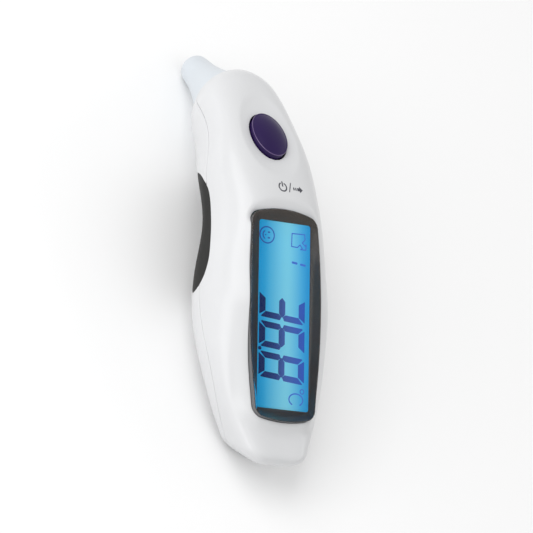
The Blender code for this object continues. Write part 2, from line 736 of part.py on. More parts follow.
def make_main_board():
    bottom = BOARD_TOP - BOARD_THICKNESS
    low = (-BOARD_HALF_WIDTH, BOARD_LOW, bottom)
    board = box("main_board", low, (BOARD_HALF_WIDTH, BOARD_HIGH, BOARD_TOP), "circuit_board")
    back = bottom - GAP
    chips = (
        ("microcontroller", (1.5, 17), (9.5, 25), 1.4, "chip_black"),
        ("sensor_amplifier", (2.5, 28), (8.5, 32.5), 1.2, "chip_black"),
        ("clock_crystal", (-10.5, 28), (-7.5, 34.8), 1.8, "steel"),
        ("flex_connector", (-5, 37.6), (5, 40.6), 1.6, "milky_plastic"),
    )
    for name, corner, opposite, height, material in chips:
        chip = box(name, (*corner, back - height), (*opposite, back), material)
        bevel(chip, 0.15, 1)
    cylinder("buffer_capacitor", 1.9, back - 4.6, back, "cell_jacket", at=(-9.3, 25.2), segments=20)
    buzzer = turned(
        "piezo_buzzer",
        ((0, -2.4), (4.6, -2.4), (5, -2), (5, 0), (0, 0)),
        "chip_black", at=(-4.4, 18.4, back), segments=24,
    )
    cut(buzzer, cylinder("buzzer_hole", 0.8, back - 4, back - 1.2, at=(-4.4, 18.4), segments=12))
    x, y = BOARD_SCREW_AT
    for word, side in SIDES:
        hole = cylinder(f"board_hole_{word}", 1.2, bottom - 2, 0, at=(side * x, y), segments=16)
        cut(board, hole)
        screw(f"board_screw_{word}", DEVICE, (side * x, y), back, 1.8, 0.9, 3.4)


# ---------------------------------------------------------------- battery bay


def make_battery_bay():
    front_face = CELL_RADIUS + 0.4
    half = TRAY_HALF_WIDTH
    tray = box(
        "battery_tray", (-half, TRAY_LOW, front_face), (half, TRAY_HIGH, front_face + TRAY_WALL),
        "white_plastic", BAY,
    )
    overlap = front_face + TRAY_WALL / 2
    end_low, end_high = TRAY_LOW, TRAY_HIGH
    lower_half = 8.5
    for name, low, high in (
        ("tray_end_high", (-half, end_high - TRAY_WALL, -3.5), (half, end_high, overlap)),
        ("tray_end_low", (-lower_half, end_low, -1.5), (lower_half, end_low + TRAY_WALL, overlap)),
        ("tray_rib", (-0.35, end_low, 0.8), (0.35, end_high - 3, overlap)),
        ("tray_side_left", (-half, end_low + 3, 1), (-half + TRAY_WALL, end_high, overlap)),
        ("tray_side_right", (half - TRAY_WALL, end_low + 3, 1), (half, end_high, overlap)),
    ):
        join(tray, box(name, low, high, frame=BAY))
    for word, side in SIDES:
        corner = prism(
            f"tray_corner_{word}",
            ((side * 7.4, end_low - 1), (side * 15, end_low - 1), (side * 15, end_low + 11)),
            front_face - 8, front_face + 3, frame=BAY,
        )
        cut(tray, corner)

    for word, side in SIDES:
        way = -side
        profile = (
            (0, -CELL_LENGTH / 2), (CELL_RADIUS - 0.8, -CELL_LENGTH / 2),
            (CELL_RADIUS, -CELL_LENGTH / 2 + 0.6), (CELL_RADIUS, CELL_LENGTH / 2 - 0.6),
            (CELL_RADIUS - 0.6, CELL_LENGTH / 2), (CELL_NUB_RADIUS, CELL_LENGTH / 2),
            (CELL_NUB_RADIUS, CELL_LENGTH / 2 + CELL_NUB), (0, CELL_LENGTH / 2 + CELL_NUB),
        )
        middle = (side * CELL_SPACING, CELL_SHIFT * (way - 1) / 2, 0)
        along = make_empty(f"cell_frame_{word}", middle, -way * math.pi / 2, BAY)
        turned(f"cell_{word}", profile, "cell_jacket", along, segments=24)
    make_contacts()


def spring_points(radius_big, radius_small, length, wire, turns, steps):
    """The centre line of a conical spring along z."""
    count = int(turns * steps)
    line = []
    for i in range(count + 1):
        share = i / count
        radius = radius_big + (radius_small - radius_big) * share
        turn = math.tau * turns * share
        line.append((radius * math.cos(turn), radius * math.sin(turn), wire + (length - 2 * wire) * share))
    return line


def tube(name, line, radius, material, frame, sides=6):
    """A round wire along a line of points, with closed ends."""
    path = [Vector(point) for point in line]
    points = []
    normal = Vector((0, 0, 1))
    for i, centre in enumerate(path):
        ahead = path[min(i + 1, len(path) - 1)] - path[max(i - 1, 0)]
        across = ahead.cross(normal).normalized()
        up = across.cross(ahead).normalized()
        for k in range(sides):
            turn = math.tau * k / sides
            points.append(centre + (across * math.cos(turn) + up * math.sin(turn)) * radius)
    faces = [tuple(range(sides)), tuple(range(len(points) - sides, len(points)))]
    for i in range(len(path) - 1):
        for k in range(sides):
            j = (k + 1) % sides
            a, b = i * sides, (i + 1) * sides
            faces.append((a + k, a + j, b + j, b + k))
    return add_object(name, points, faces, material, frame)


def make_contacts():
    """Springs at the negative ends, plates at the positive ones, and a bridge across the probe end."""
    plate = 0.4
    wire = 0.35
    length = 2.3
    high_seat = TRAY_HIGH - TRAY_WALL - GAP
    low_seat = TRAY_LOW + TRAY_WALL + GAP
    half = (3.1, 3.4)
    box(
        "bridge_contact", (-CELL_SPACING - half[0], high_seat - plate, -3),
        (CELL_SPACING + half[0], high_seat, 3.4), "brass", BAY,
    )
    for word, side in (("negative_terminal", -1), ("positive_terminal", 1)):
        centre = side * CELL_SPACING
        low = (centre - half[0], low_seat, -1.2)
        box(word, low, (centre + half[0], low_seat + plate, half[1]), "brass", BAY)
    spring = spring_points(3, 1.6, length, wire, 2.5, 12)
    high_base = high_seat - plate - 0.1
    low_base = low_seat + plate + 0.1
    to_low = make_empty("bridge_spring_frame", (CELL_SPACING, high_base, 0), math.pi / 2, BAY)
    to_high = make_empty("terminal_spring_frame", (-CELL_SPACING, low_base, 0), -math.pi / 2, BAY)
    tube("bridge_spring", spring, wire, "steel", to_low)
    tube("terminal_spring", spring, wire, "steel", to_high)


def make_shell_screws():
    x, y = SHELL_SCREW_AT
    for word, side in SIDES:
        screw(f"shell_screw_{word}", DEVICE, (side * x, y), SCREW_TAB_BOTTOM - 0.25, 2.2, 1, 8.4)


# ---------------------------------------------------------------- button and switch


SWITCH_BOARD_TOP = SWITCH_TOP - SWITCH_SIZE[2] - GAP


def button_profile():
    """Radius and height of the cap from its dome down to its stem, for the half width of the oval."""
    steps = 6
    width = BUTTON_HALF[0]
    profile = [(0, BUTTON_TOP)]
    for i in range(1, steps + 1):
        share = i / steps
        fall = 1 - (1 - share**2.4) ** (1 / 2.4)
        profile.append((width * share, BUTTON_TOP + (BUTTON_EDGE - BUTTON_TOP) * fall))
    profile += [(width, BUTTON_FLANGE_TOP), (0, BUTTON_FLANGE_TOP)]
    return profile[::-1]


def make_button():
    stretch = BUTTON_HALF[1] / BUTTON_HALF[0]
    button = turned("scan_button", button_profile(), "purple_plastic", BUTTON, segments=32, stretch=stretch)
    flange_bottom = BUTTON_FLANGE_TOP - BUTTON_FLANGE_THICKNESS
    flange_oval = oval(BUTTON_HALF[0] + BUTTON_FLANGE, BUTTON_HALF[1] + BUTTON_FLANGE)
    overlap = 0.3
    flange_top = BUTTON_FLANGE_TOP + overlap
    stem_top = flange_bottom + overlap
    join(button, prism("button_flange", flange_oval, flange_bottom, flange_top, frame=BUTTON))
    join(button, cylinder("button_stem", STEM_RADIUS, STEM_BOTTOM, stem_top, frame=BUTTON, segments=20))

    plunger_top = STEM_BOTTOM - GAP
    cylinder(
        "switch_plunger", PLUNGER_RADIUS, plunger_top - PLUNGER_LENGTH, plunger_top, "rubber", BUTTON,
        segments=20,
    )
    half = (SWITCH_SIZE[0] / 2, SWITCH_SIZE[1] / 2)
    low = (-half[0], -half[1], SWITCH_TOP - SWITCH_SIZE[2])
    switch = box("tact_switch", low, (*half, SWITCH_TOP), "steel", BUTTON)
    bore_radius, bore_bottom = PLUNGER_RADIUS + GAP, SWITCH_TOP - 2.2
    cut(switch, cylinder("switch_bore", bore_radius, bore_bottom, 0, frame=BUTTON, segments=20))
    bevel(switch, 0.2, 1)

    size = SWITCH_BOARD_SIZE
    low = (-size[0] / 2, -size[1] / 2, SWITCH_BOARD_TOP - size[2])
    board = box("switch_board", low, (size[0] / 2, size[1] / 2, SWITCH_BOARD_TOP), "circuit_board", BUTTON)
    for word, side in SIDES:
        at = (side * SWITCH_POST_X, 0)
        seat = SWITCH_BOARD_TOP - size[2]
        hole = cylinder(f"switch_hole_{word}", 1.1, seat - 1, seat + 3, frame=BUTTON, at=at, segments=16)
        cut(board, hole)
        screw(f"switch_screw_{word}", BUTTON, at, seat - GAP, 1.5, 0.8, 5.2)


# ---------------------------------------------------------------- probe and sensor


def make_probe():
    mouth_end = PROBE_MOUTH_DEPTH
    profile = [(PROBE_MOUTH_RADIUS, mouth_end), (PROBE_MOUTH_RADIUS, 0)]
    profile += [(radius, distance) for distance, radius in PROBE_OUTLINE]
    profile += [(COLLAR_RADIUS, FLANGE_START), (FLANGE_RADIUS, FLANGE_START), (FLANGE_RADIUS, FLANGE_END)]
    profile += PROBE_BORE
    turned("probe_cone", profile, "probe_plastic", PROBE, segments=32)

    window_start = mouth_end + GAP
    window_end = window_start + WINDOW_THICKNESS
    cylinder("probe_window", BARREL_RADIUS, window_start, window_end, "lcd_glass", PROBE, segments=24)
    barrel_start = window_end + GAP
    barrel_end = barrel_start + BARREL_LENGTH
    turned(
        "sensor_barrel",
        (
            (BARREL_BORE, barrel_start), (BARREL_RADIUS, barrel_start),
            (BARREL_RADIUS, barrel_end - 1), (BARREL_RADIUS + 1.2, barrel_end - 1),
            (BARREL_RADIUS + 1.2, barrel_end), (BARREL_BORE, barrel_end),
        ),
        "steel", PROBE, segments=24,
    )
    sensor_start = barrel_start + 0.6
    sensor_end = sensor_start + SENSOR_LENGTH
    turned(
        "thermopile_sensor",
        (
            (0, sensor_start), (SENSOR_RADIUS - 0.2, sensor_start), (SENSOR_RADIUS, sensor_start + 0.2),
            (SENSOR_RADIUS, sensor_end - 0.5), (SENSOR_BASE_RADIUS, sensor_end - 0.5),
            (SENSOR_BASE_RADIUS, sensor_end), (0, sensor_end),
        ),
        "brass", PROBE, segments=20,
    )
    ring_middle, ring_radius = BARREL_RADIUS + GAP + 0.75, 0.75
    ring = [math.tau * i / 8 for i in range(8)]
    turned(
        "barrel_seal",
        [(ring_middle + ring_radius * math.cos(t), SEAL_AT - ring_radius * math.sin(t)) for t in ring],
        "rubber", PROBE, segments=24,
    )
    make_flex(sensor_end)


def make_flex(sensor_end):
    """The flat cable from the sensor, out of the barrel and down to the connector on the main board."""
    half_width, thickness = FLEX_HALF_WIDTH, FLEX_THICKNESS
    to_device = PROBE.matrix_basis
    inside = [to_device @ (Vector((0, 0, d)) * MM) / MM for d in (sensor_end + GAP, *FLEX_IN_BARREL)]
    route = [(p.y, p.z) for p in inside]
    route += FLEX_IN_HEAD
    points = []
    for i, (y, z) in enumerate(route):
        before = route[max(i - 1, 0)]
        after = route[min(i + 1, len(route) - 1)]
        along = Vector((after[0] - before[0], after[1] - before[1])).normalized()
        lift = (-along.y * thickness / 2, along.x * thickness / 2)
        for x in (-half_width, half_width):
            for way in (-1, 1):
                points.append((x, y + lift[0] * way, z + lift[1] * way))
    faces = [(0, 1, 3, 2), tuple(len(points) - 4 + k for k in (0, 1, 3, 2))]
    for i in range(len(route) - 1):
        a, b = 4 * i, 4 * (i + 1)
        for near, far in ((0, 1), (1, 3), (3, 2), (2, 0)):
            faces.append((a + near, a + far, b + far, b + near))
    add_object("sensor_flex", points, faces, "amber_film")


bpy.context.view_layer.update()
make_shells()
make_grip()
make_display()
make_main_board()
make_battery_bay()
make_shell_screws()
make_button()
make_probe()
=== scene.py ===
import math

import bpy
import numpy as np
from mathutils import Matrix, Vector
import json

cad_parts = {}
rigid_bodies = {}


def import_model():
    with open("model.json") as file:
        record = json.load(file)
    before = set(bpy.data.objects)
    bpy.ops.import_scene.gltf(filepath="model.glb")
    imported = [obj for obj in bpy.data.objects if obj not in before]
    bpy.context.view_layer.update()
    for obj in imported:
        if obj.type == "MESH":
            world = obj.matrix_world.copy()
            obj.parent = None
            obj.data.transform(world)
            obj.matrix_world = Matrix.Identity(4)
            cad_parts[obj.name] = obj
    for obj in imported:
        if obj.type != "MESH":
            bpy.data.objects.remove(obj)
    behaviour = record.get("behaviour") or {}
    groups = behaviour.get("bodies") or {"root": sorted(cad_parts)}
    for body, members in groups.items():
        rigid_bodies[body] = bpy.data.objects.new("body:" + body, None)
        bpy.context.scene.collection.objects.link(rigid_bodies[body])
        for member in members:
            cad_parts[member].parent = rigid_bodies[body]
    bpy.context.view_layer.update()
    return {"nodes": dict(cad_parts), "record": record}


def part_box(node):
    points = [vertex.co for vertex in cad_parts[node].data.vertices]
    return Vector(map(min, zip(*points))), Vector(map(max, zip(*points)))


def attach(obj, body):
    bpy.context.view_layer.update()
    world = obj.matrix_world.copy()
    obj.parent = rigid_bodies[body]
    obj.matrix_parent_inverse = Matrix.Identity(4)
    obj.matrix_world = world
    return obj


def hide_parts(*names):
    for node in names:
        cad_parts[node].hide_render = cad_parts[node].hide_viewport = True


# Looks of the digital ear thermometer. Its casing is made again here as fine, thick-walled skins over the
# same form as the CAD's, with rounded rims; the display, the button, the grip and the probe are made anew,
# and the pieces inside keep their CAD meshes. Lengths are in millimetres in the device's own frame: x to
# the right, y from the battery end towards the probe, z straight out of the display.

MM = 0.001
REST_TILT = math.radians(15.4)

# The body's form, as in the CAD: values at stations along a bent spine, and its rounded ends.
STATIONS = (-48, -32, -16, 0, 16, 32, 48, 62, 76, 92)
LEAN = (-30, -14, 7, 9, 0, 1.5, 8.5, 25.5, 43, 57)
HALF_WIDTH = (6.5, 16, 20.3, 22, 21.3, 19, 18.4, 15.2, 14.4, 14)
FRONT_DEPTH = (22, 10.7, 11.3, 17.8, 18.3, 17.6, 13.6, 10.8, 13, 16.7)
BACK_DEPTH = (5, 11.6, 14.6, 15.3, 13.2, 10.5, 15.3, 19, 14.7, 10.3)
SQUARENESS = (6, 3.7, 2.73, 2.53, 2.7, 3, 2.81, 3.53, 2.28, 1.85)
BACK_SQUARENESS = 2.33
SPINE_Z = -14.5
BODY_START, START_ROUND = -44.1, 5.4
BODY_END, END_ROUND = 85.4, 10.9
ROUND_POWER = 2.2
SPINE_SAMPLES = 681
FRONT_LAST = 80
WIDEST_SHARE = 0.9999
HALVINGS = 40

# Fine skins: their grid, wall, half the parting gap and the radius of their rims. A level of FAR_OFF is well
# clear of an edge.
SPACING = 0.75
END_POINTS = 15
HALF_TURN_POINTS = 85
WALL = 1.6
SEAM = 0.07
RIM = 0.16
RIM_STEPS = 4
TURNED_SIDES = 96
SNAP = 0.04
MERGE_DIGITS = 5
NORMAL_WEIGHT = 60
FAR_OFF = 5

# Display window: half sizes, taper and skew of its sides, sag of its ends and corners of a plain radius. It
# is as in the CAD, but from the middle down to LOWER_Y it gets narrower and its rim rises. Only the skin in
# front of the Z values is raised or cut open.
WINDOW_HALF = (13.5, 34.1)
WINDOW_TAPER, WINDOW_SKEW = 1.5, 0.3
WINDOW_END_SAG = 2.6
WINDOW_CORNER, LEAST_CORNER = 2.6, 0.5
LOWER_INSET, LOWER_Y = 0.67, -25
RIM_LIFT, RIM_LIFT_REACH, RIM_LIFT_MOST = 1.4, 4.5, 1.2
FRONT_Z, FRONT_BLEND = -14, 4
WINDOW_CUT_Z = -12

# Lens: level and slope of its edge, its bow below and above the middle, its rounded shoulder and its crown;
# the rings of points on its face, shoulder and back.
LENS_EDGE = (0.7, 0.025)
LENS_BOW = (0.0003, -0.00129)
LENS_ROUND, LENS_CROWN = 0.5, 0.5
LENS_BACK_INSET = 0.12
CURVE_POINTS, CURVE_REACH = 320, 1.6
FACE_RINGS, SHOULDER_RINGS, BACK_RINGS = 16, 9, 12

# The black tray: its rise from the picture to the lens's edge, and how far it and the panel's face overlap
# the lens's back, which bonds the three without a gap.
TRAY_RINGS = 13
TRAY_FLAT, TRAY_POWER, TRAY_RIM = 0.08, 1.4, 0.75
TRAY_INSET, TRAY_THICKNESS = 0.2, 0.3
TRAY_BOND, PANEL_BOND = 0.04, 0.06

# The lens's side wall: its thickness, its top under the shoulder, and its foot under the casing's face.
SIDE_THICKNESS, SIDE_TOP, SIDE_FOOT, SIDE_LEAST = 0.15, 0.02, 0.9, 0.3

# What the display shows lies on a gently sloping plane as the eye meets it, so the panel lies deeper by the
# bending of light in the lens.
LENS_BENDING = 1.69
SHOWN_PLANE = (-0.33, 0.0258)
SHOWN_HALF = (9.65, 29.85)
SHOWN_CORNER = 0.8
LCD_TOP, LCD_THICKNESS = -4.8, 1.4
PANEL_MARGIN, PANEL_RINGS = 0.4, 24

# Printed plates: thickness, and how far they stand over what they lie on.
PRINT_THICKNESS, PRINT_LIFT = 0.03, 0.05
PRINT_MARGIN, PRINT_SNAP = 0.4, 0.05

# The reading: seven-segment figures by their lit segments and places, the shape of a segment's bevelled
# ends, and a point between the last two figures.
FIGURES = (("abcdg", 2.45), ("acdefg", -7), ("abcdefg", -16.65))
FIGURE_X = -0.62
FIGURE_HIGH, FIGURE_WIDE = 8.55, 4.1
FIGURE_BAR, FIGURE_SIDE = 2.3, 1.95
FIGURE_GAP = 0.17
FIGURE_SLOPE = 0.084
FIGURE_BEVEL = 0.45
FIGURE_SHOULDER = ((0, 0.7), (0.25, 0.5))
FIGURE_FOOT, FIGURE_NOTCH, FIGURE_TIP = 0.55, (0.55, 1.6), 0.4
FIGURE_CLEAR = 0.6
POINT_LINE, POINT_WIDTH = ((-8.85, -11.1), (-8.75, -11.1)), 1.15
READING_SPACING = 0.2

# Icons: a face, an arrow out of a frame, two dashes and the unit. Arcs are a middle, radii, first and last
# bearing in degrees and a count of points; lines have a width.
ICON_SPACING = 0.11
FACE_AT = (-6.7, 25.07)
FACE_RING, FACE_RING_WIDTH = ((2.7, 2.6), 0, 360, 48), 0.42
FACE_MOUTH, FACE_MOUTH_WIDTH = ((1.55, 1.45), 125, 235, 16), 0.38
FACE_EYE_X, FACE_EYE_Y, FACE_EYE_WIDTH = (0.45, 0.9), 0.9, 0.5
FACE_NOSE_X, FACE_NOSE_WIDTH = (-0.55, -0.5), 0.42
ARROW_FRAME = (
    (2.73, 26.62), (7.54, 26.77), (7.7, 25.06), (6.68, 24.03), (7.73, 23.15), (8.15, 23.59), (8.05, 21.85),
    (6.03, 21.79), (6.71, 22.27), (5.79, 23.28), (4.82, 22.33), (2.59, 22.43),
)
ARROW_WIDTH = 0.34
DASHES = ((3.1, 17.34), (6.24, 17))
DASH_RUN, DASH_WIDTH = (1.5, -0.15), 0.7
UNIT_RING, UNIT_RING_WIDTH = ((7.24, -23.52), 0.72, 0, 360, 30), 0.34
UNIT_LETTER, UNIT_LETTER_WIDTH = ((4.98, -26.3), (2.6, 1.9), -55, 235, 44), 0.42

# Signs on the casing: a power symbol, a slash, and an arrow with two bars behind it.
SIGN_SPACING = 0.09
POWER_AT, POWER_WIDTH = (-0.3, 41.5), 0.42
POWER_RING, POWER_STEM = (1.4, 122, 418, 30), (0.3, 1.75)
SLASH, SLASH_WIDTH = ((2, 40.1), (3, 43.2)), 0.3
SIGN_BARS, SIGN_BAR_WIDTH, SIGN_BAR_ENDS = (3.75, 4.55), 0.42, (41.9, 40.9)
SIGN_ARROW = (
    (5.35, 41.9), (6.3, 41.9), (6.3, 42.5), (7.6, 41.4), (6.3, 40.3), (6.3, 40.9), (5.35, 40.9),
)

# The scoop over the window, under an arch: middle, half sizes, squareness, depth and fading in.
ARCH_Y, ARCH_HALF, ARCH_POWER = 28, (14.3, 9.5), 2.3
SCOOP_DEPTH, SCOOP_FADE, LEAST_REACH = 1.6, 4, 1e-3

# Battery cover: y and z where its two edge planes meet, and their tilt.
COVER_AT = (8.8, -23.2)
COVER_TILT = math.radians(-3.9)

# Thumb grip: its outline in y and z from the side, how far along and round the body its grid runs, and how
# deep it is let in.
GRIP_OUTLINE = (
    (10, -40), (10, -28), (9.6, -23.3), (8.3, -20.6), (8.8, -17.6), (11.2, -14.4), (14.5, -12.5),
    (18.5, -11.7), (24, -12.2), (32, -13.4), (38, -14.2), (41.5, -15.4), (44.6, -18), (47.4, -21.5),
    (49.4, -28), (50.4, -40),
)
GRIP_STATIONS = (0, 62)
GRIP_PAST_PARTING, GRIP_POINTS = 0.5, 150
GRIP_INSET, GRIP_RIM, GRIP_WALL = 0.12, 0.25, 1.1

# Button, in its own frame with z out of the casing: the hole's gap, the cap's edge radius, its height at the
# brow and at the top, the power of its dome, its flange and stem, and the lighter bead round its edge, which
# is a painted highlight.
BUTTON_AT = (0, 60, -8.4)
BUTTON_TILT = math.radians(-27)
BUTTON_HALF = (6.4, 8.8)
BUTTON_GAP, NEAR_BUTTON = 0.33, 6
CAP_INSET, CAP_EDGE, CAP_BROW, CAP_TOP = 0.12, 0.3, 0.6, 2.0
CAP_DOME, CAP_BLEND = 2.2, (0.04, 0.35)
CAP_START, CAP_RINGS, CAP_EDGE_RINGS, BEAD_POINTS = 0.08, 16, 7, 13
CAP_FLANGE, CAP_FLANGE_Z = 0.9, (-4.3, -5.2)
CAP_STEM, CAP_STEM_END = 2, -6.2
BEAD_INSET, BEAD_MIDDLE, BEAD_HALF = 0.13, 0.36, (0.13, 0.22)

# The dish round the button: half sizes and depth, its rise and tip against the button's plane, how steeply
# it leaves the skin, how far it is worked out and how softly it blends in.
DISH_HALF = (12, 16.8, 1.5)
DISH_RISE = 0.35
DISH_TIP = 0.03
DISH_BANK, DISH_REACH, DISH_BLEND = 12, 1.3, 0.2

# Probe, by distance along its axis from the tip: (distance, radius) of its sides, its rounded mouth and lip,
# and (radius, distance) of its bore.
TIP_AT = (0, 92.3, -53.3)
PROBE_LEAN = math.radians(49.6)
PROBE_OUTLINE = (
    (2.5, 5.1), (4.5, 5.3), (8.6, 5.9), (13.1, 6.85), (16.4, 7.9), (19.4, 8.75), (22, 9.6), (23.7, 10.3),
)
PROBE_SIDES_START, PROBE_SIDES_POINTS, PROBE_SIDES_POWER = 2.2, 50, 5
PROBE_BROW = (1.6, 4.95)
MOUTH_RADIUS, MOUTH_ROUND, MOUTH_DEPTH = 2.7, 0.5, 1.0
LIP_MIDDLE, LIP_HALF = 3.7, (1.25, 1.6)
MOUTH_POINTS, LIP_START, LIP_POINTS = 5, 0.1, 12
PROBE_BORE = ((6.7, 28.3), (5.7, 19.7), (3.3, 11), (3.3, 1.0))
COLLAR_RADIUS, COLLAR_START = 10.3, 24
FLANGE_RADIUS, FLANGE_START, FLANGE_END = 11.6, 26.9, 28.3
PROBE_GAP, PROBE_CUT_END = 0.2, 29

# Finish of materials: where colour patches turn, how far gloss varies, noise detail and depth of grain.
PATCH_TURNS = (0.3, 0.7)
GLOSS_RANGE = (0.93, 1.07)
PATCH_DETAIL, GRAIN_DETAIL = 3, 2
GRAIN_DEPTH = 0.0002
LCD_SPECULAR = 0.05
ACRYLIC_IOR, ACRYLIC_SPECULAR, ACRYLIC_TINT = 1.49, 0.25, 0.3
SMEAR_SCALE, SMEAR_GLOSS = 45, (0.02, 0.05)

# Stage, in metres, and camera, whose place is in the device's frame: across, up and back along its own axes.
FLOOR_HALF, FLOOR_DROP, FLOOR_ALBEDO, FLOOR_ROUGHNESS = 12, 0.0002, 0.95, 0.9
WORLD_STRENGTH = 0.67
LIGHTS = (
    # name, place, what it points at, size, power in watts
    ("key", (-0.57, 0.27, 0.83), (0, 0, 0), (0.8, 0.8), 4.6),
    ("left_fill", (-0.8, -0.15, 0.28), (0, 0, 0.02), (0.6, 0.5), 1.7),
    ("right_strip", (0.75, -0.1, 0.5), (0, 0, 0.02), (0.9, 0.12), 0.6),
)
CAMERA_TURN, CAMERA_TIP = math.radians(34), math.radians(-11.8)
CAMERA_RIGHT, CAMERA_UP, CAMERA_BACK = -5.6, 15.4, 1195
CAMERA_LENS, CAMERA_SENSOR = 256.7, 36


# ---------------- the frame


for leftover in list(bpy.data.objects):
    bpy.data.objects.remove(leftover, do_unlink=True)
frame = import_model()


def middle_of(node):
    low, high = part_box(node)
    return (low + high) / 2


# The device frame's origin follows from the display panel, which is a plain box centred on x = y = 0.
TURN = Matrix.Rotation(REST_TILT, 4, "X")
PANEL_MIDDLE = Vector((0, 0, LCD_TOP - LCD_THICKNESS / 2)) * MM
DEVICE = Matrix.Translation(middle_of("lcd_panel") - TURN @ PANEL_MIDDLE) @ TURN
BUTTON = Matrix.Translation(Vector(BUTTON_AT)) @ Matrix.Rotation(BUTTON_TILT, 4, "X")
PROBE = Matrix.Translation(Vector(TIP_AT)) @ Matrix.Rotation(math.pi / 2 - PROBE_LEAN, 4, "X")
COVER = Matrix.Translation(Vector((0, *COVER_AT))) @ Matrix.Rotation(COVER_TILT, 4, "X")


def moved(matrix, points):
    """Points through a matrix, as an array of rows."""
    points = np.asarray(points, float)
    turn = np.array(matrix.to_3x3())
    return points @ turn.T + np.array(matrix.translation)


def add_piece(name, points, faces, material, body="housing", replaces=()):
    """A smooth mesh piece whose points are in the device's frame."""
    mesh = bpy.data.meshes.new(name)
    placed = moved(DEVICE, np.asarray(points, float) * MM)
    mesh.from_pydata(placed.tolist(), [], [list(map(int, face)) for face in faces])
    mesh.materials.append(material)
    mesh.shade_smooth()
    piece = bpy.data.objects.new(name, mesh)
    bpy.context.scene.collection.objects.link(piece)
    weighted = piece.modifiers.new("weighted_normals", "WEIGHTED_NORMAL")
    weighted.mode = "FACE_AREA"
    weighted.weight = NORMAL_WEIGHT
    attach(piece, body)
    if replaces:
        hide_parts(*replaces)
    return piece


# ---------------- the body's form


def natural_spline(values):
    """A smooth function through the values at the stations."""
    x = np.array(STATIONS, float)
    y = np.array(values, float)
    step = np.diff(x)
    count = len(x)
    matrix = np.eye(count)
    right = np.zeros(count)
    for i in range(1, count - 1):
        matrix[i, i - 1:i + 2] = step[i - 1], 2 * (step[i - 1] + step[i]), step[i]
        right[i] = 6 * ((y[i + 1] - y[i]) / step[i] - (y[i] - y[i - 1]) / step[i - 1])
    bend = np.linalg.solve(matrix, right)

    def at(s):
        i = np.clip(np.searchsorted(x, s) - 1, 0, count - 2)
        after, before = x[i + 1] - s, s - x[i]
        cubic = (bend[i] * after**3 + bend[i + 1] * before**3) / (6 * step[i])
        start = (y[i] / step[i] - bend[i] * step[i] / 6) * after
        return cubic + start + (y[i + 1] / step[i] - bend[i + 1] * step[i] / 6) * before

    return at


def running_sum(samples, values):
    steps = (values[1:] + values[:-1]) / 2 * np.diff(samples)
    total = np.concatenate([[0], np.cumsum(steps)])
    return total - np.interp(0, samples, total)


LEAN_AT = natural_spline(LEAN)
WIDTH_AT = natural_spline(HALF_WIDTH)
FRONT_AT = natural_spline(FRONT_DEPTH)
BACK_AT = natural_spline(BACK_DEPTH)
SQUARE_AT = natural_spline(SQUARENESS)
SPINE_S = np.linspace(STATIONS[0], STATIONS[-1], SPINE_SAMPLES)
SPINE_Y = running_sum(SPINE_S, np.cos(np.radians(LEAN_AT(SPINE_S))))
SPINE_DROP = running_sum(SPINE_S, -np.sin(np.radians(LEAN_AT(SPINE_S))))


def round_off(distance, length):
    """1 away from an end, falling to 0 at the end itself."""
    inside = np.clip(1 - distance / length, 0, 1)
    return (1 - inside**ROUND_POWER) ** (1 / ROUND_POWER)


def cap_at(s):
    return round_off(s - BODY_START, START_ROUND) * round_off(BODY_END - s, END_ROUND)


def power_of(value, power):
    return np.sign(value) * np.abs(value) ** power


def on_spine(s, x, out):
    """The point at x across and out along the leaning section at station s."""
    lean = np.radians(LEAN_AT(s))
    y = np.interp(s, SPINE_S, SPINE_Y) + out * np.sin(lean)
    z = SPINE_Z + np.interp(s, SPINE_S, SPINE_DROP) + out * np.cos(lean)
    return np.stack([x + 0 * y, y, z], axis=-1)


def body_skin(s, turn, lift=0.0):
    """Points of the body's skin, each half moved off the parting line by lift."""
    s, turn = np.broadcast_arrays(s, turn)
    in_front = np.sin(turn) >= 0 if lift == 0 else np.full(s.shape, lift > 0)
    depth = np.where(in_front, FRONT_AT(s), BACK_AT(s))
    power = 2 / np.where(in_front, SQUARE_AT(s), BACK_SQUARENESS)
    x = WIDTH_AT(s) * cap_at(s) * power_of(np.cos(turn), power)
    out = (depth - abs(lift)) * cap_at(s) * power_of(np.sin(turn), power) + lift
    return on_spine(s, x, out)


def front_at(x, y):
    """Points of the front skin over given x and y."""
    x, y = np.broadcast_arrays(np.asarray(x, float), np.asarray(y, float))
    low = np.full(x.shape, BODY_START + START_ROUND)
    high = np.full(x.shape, float(FRONT_LAST))
    for _ in range(HALVINGS):
        s = (low + high) / 2
        share = np.clip(np.abs(x) / (WIDTH_AT(s) * cap_at(s)), 0, WIDEST_SHARE)
        square = SQUARE_AT(s)
        out = FRONT_AT(s) * cap_at(s) * (1 - share**square) ** (1 / square)
        point = on_spine(s, x, out)
        short = point[..., 1] < y
        low, high = np.where(short, s, low), np.where(short, high, s)
    return point


def stations():
    """Stations spaced evenly, and closer together where the ends round off."""
    turns = np.linspace(0, math.pi / 2, END_POINTS)
    first = BODY_START + START_ROUND * (1 - np.cos(turns))
    last = BODY_END - END_ROUND * (1 - np.cos(turns[::-1]))
    count = int((last[0] - first[-1]) / SPACING)
    return np.concatenate([first, np.linspace(first[-1], last[0], count)[1:-1], last])


# ---------------- features, as distances from their edges


def window_level(x, y, shrink=0.0):
    """Distance outside the display window's outline, negative inside it."""
    share = y / WINDOW_HALF[1]
    side = WINDOW_HALF[0] + WINDOW_SKEW * share - WINDOW_TAPER * share**2 - shrink
    side = side - LOWER_INSET * np.clip(y / LOWER_Y, 0, 1) ** 2
    end = WINDOW_HALF[1] - WINDOW_END_SAG * (x / WINDOW_HALF[0]) ** 2 - shrink
    return rounded(np.abs(x) - side, np.abs(y) - end, max(WINDOW_CORNER - shrink, LEAST_CORNER))


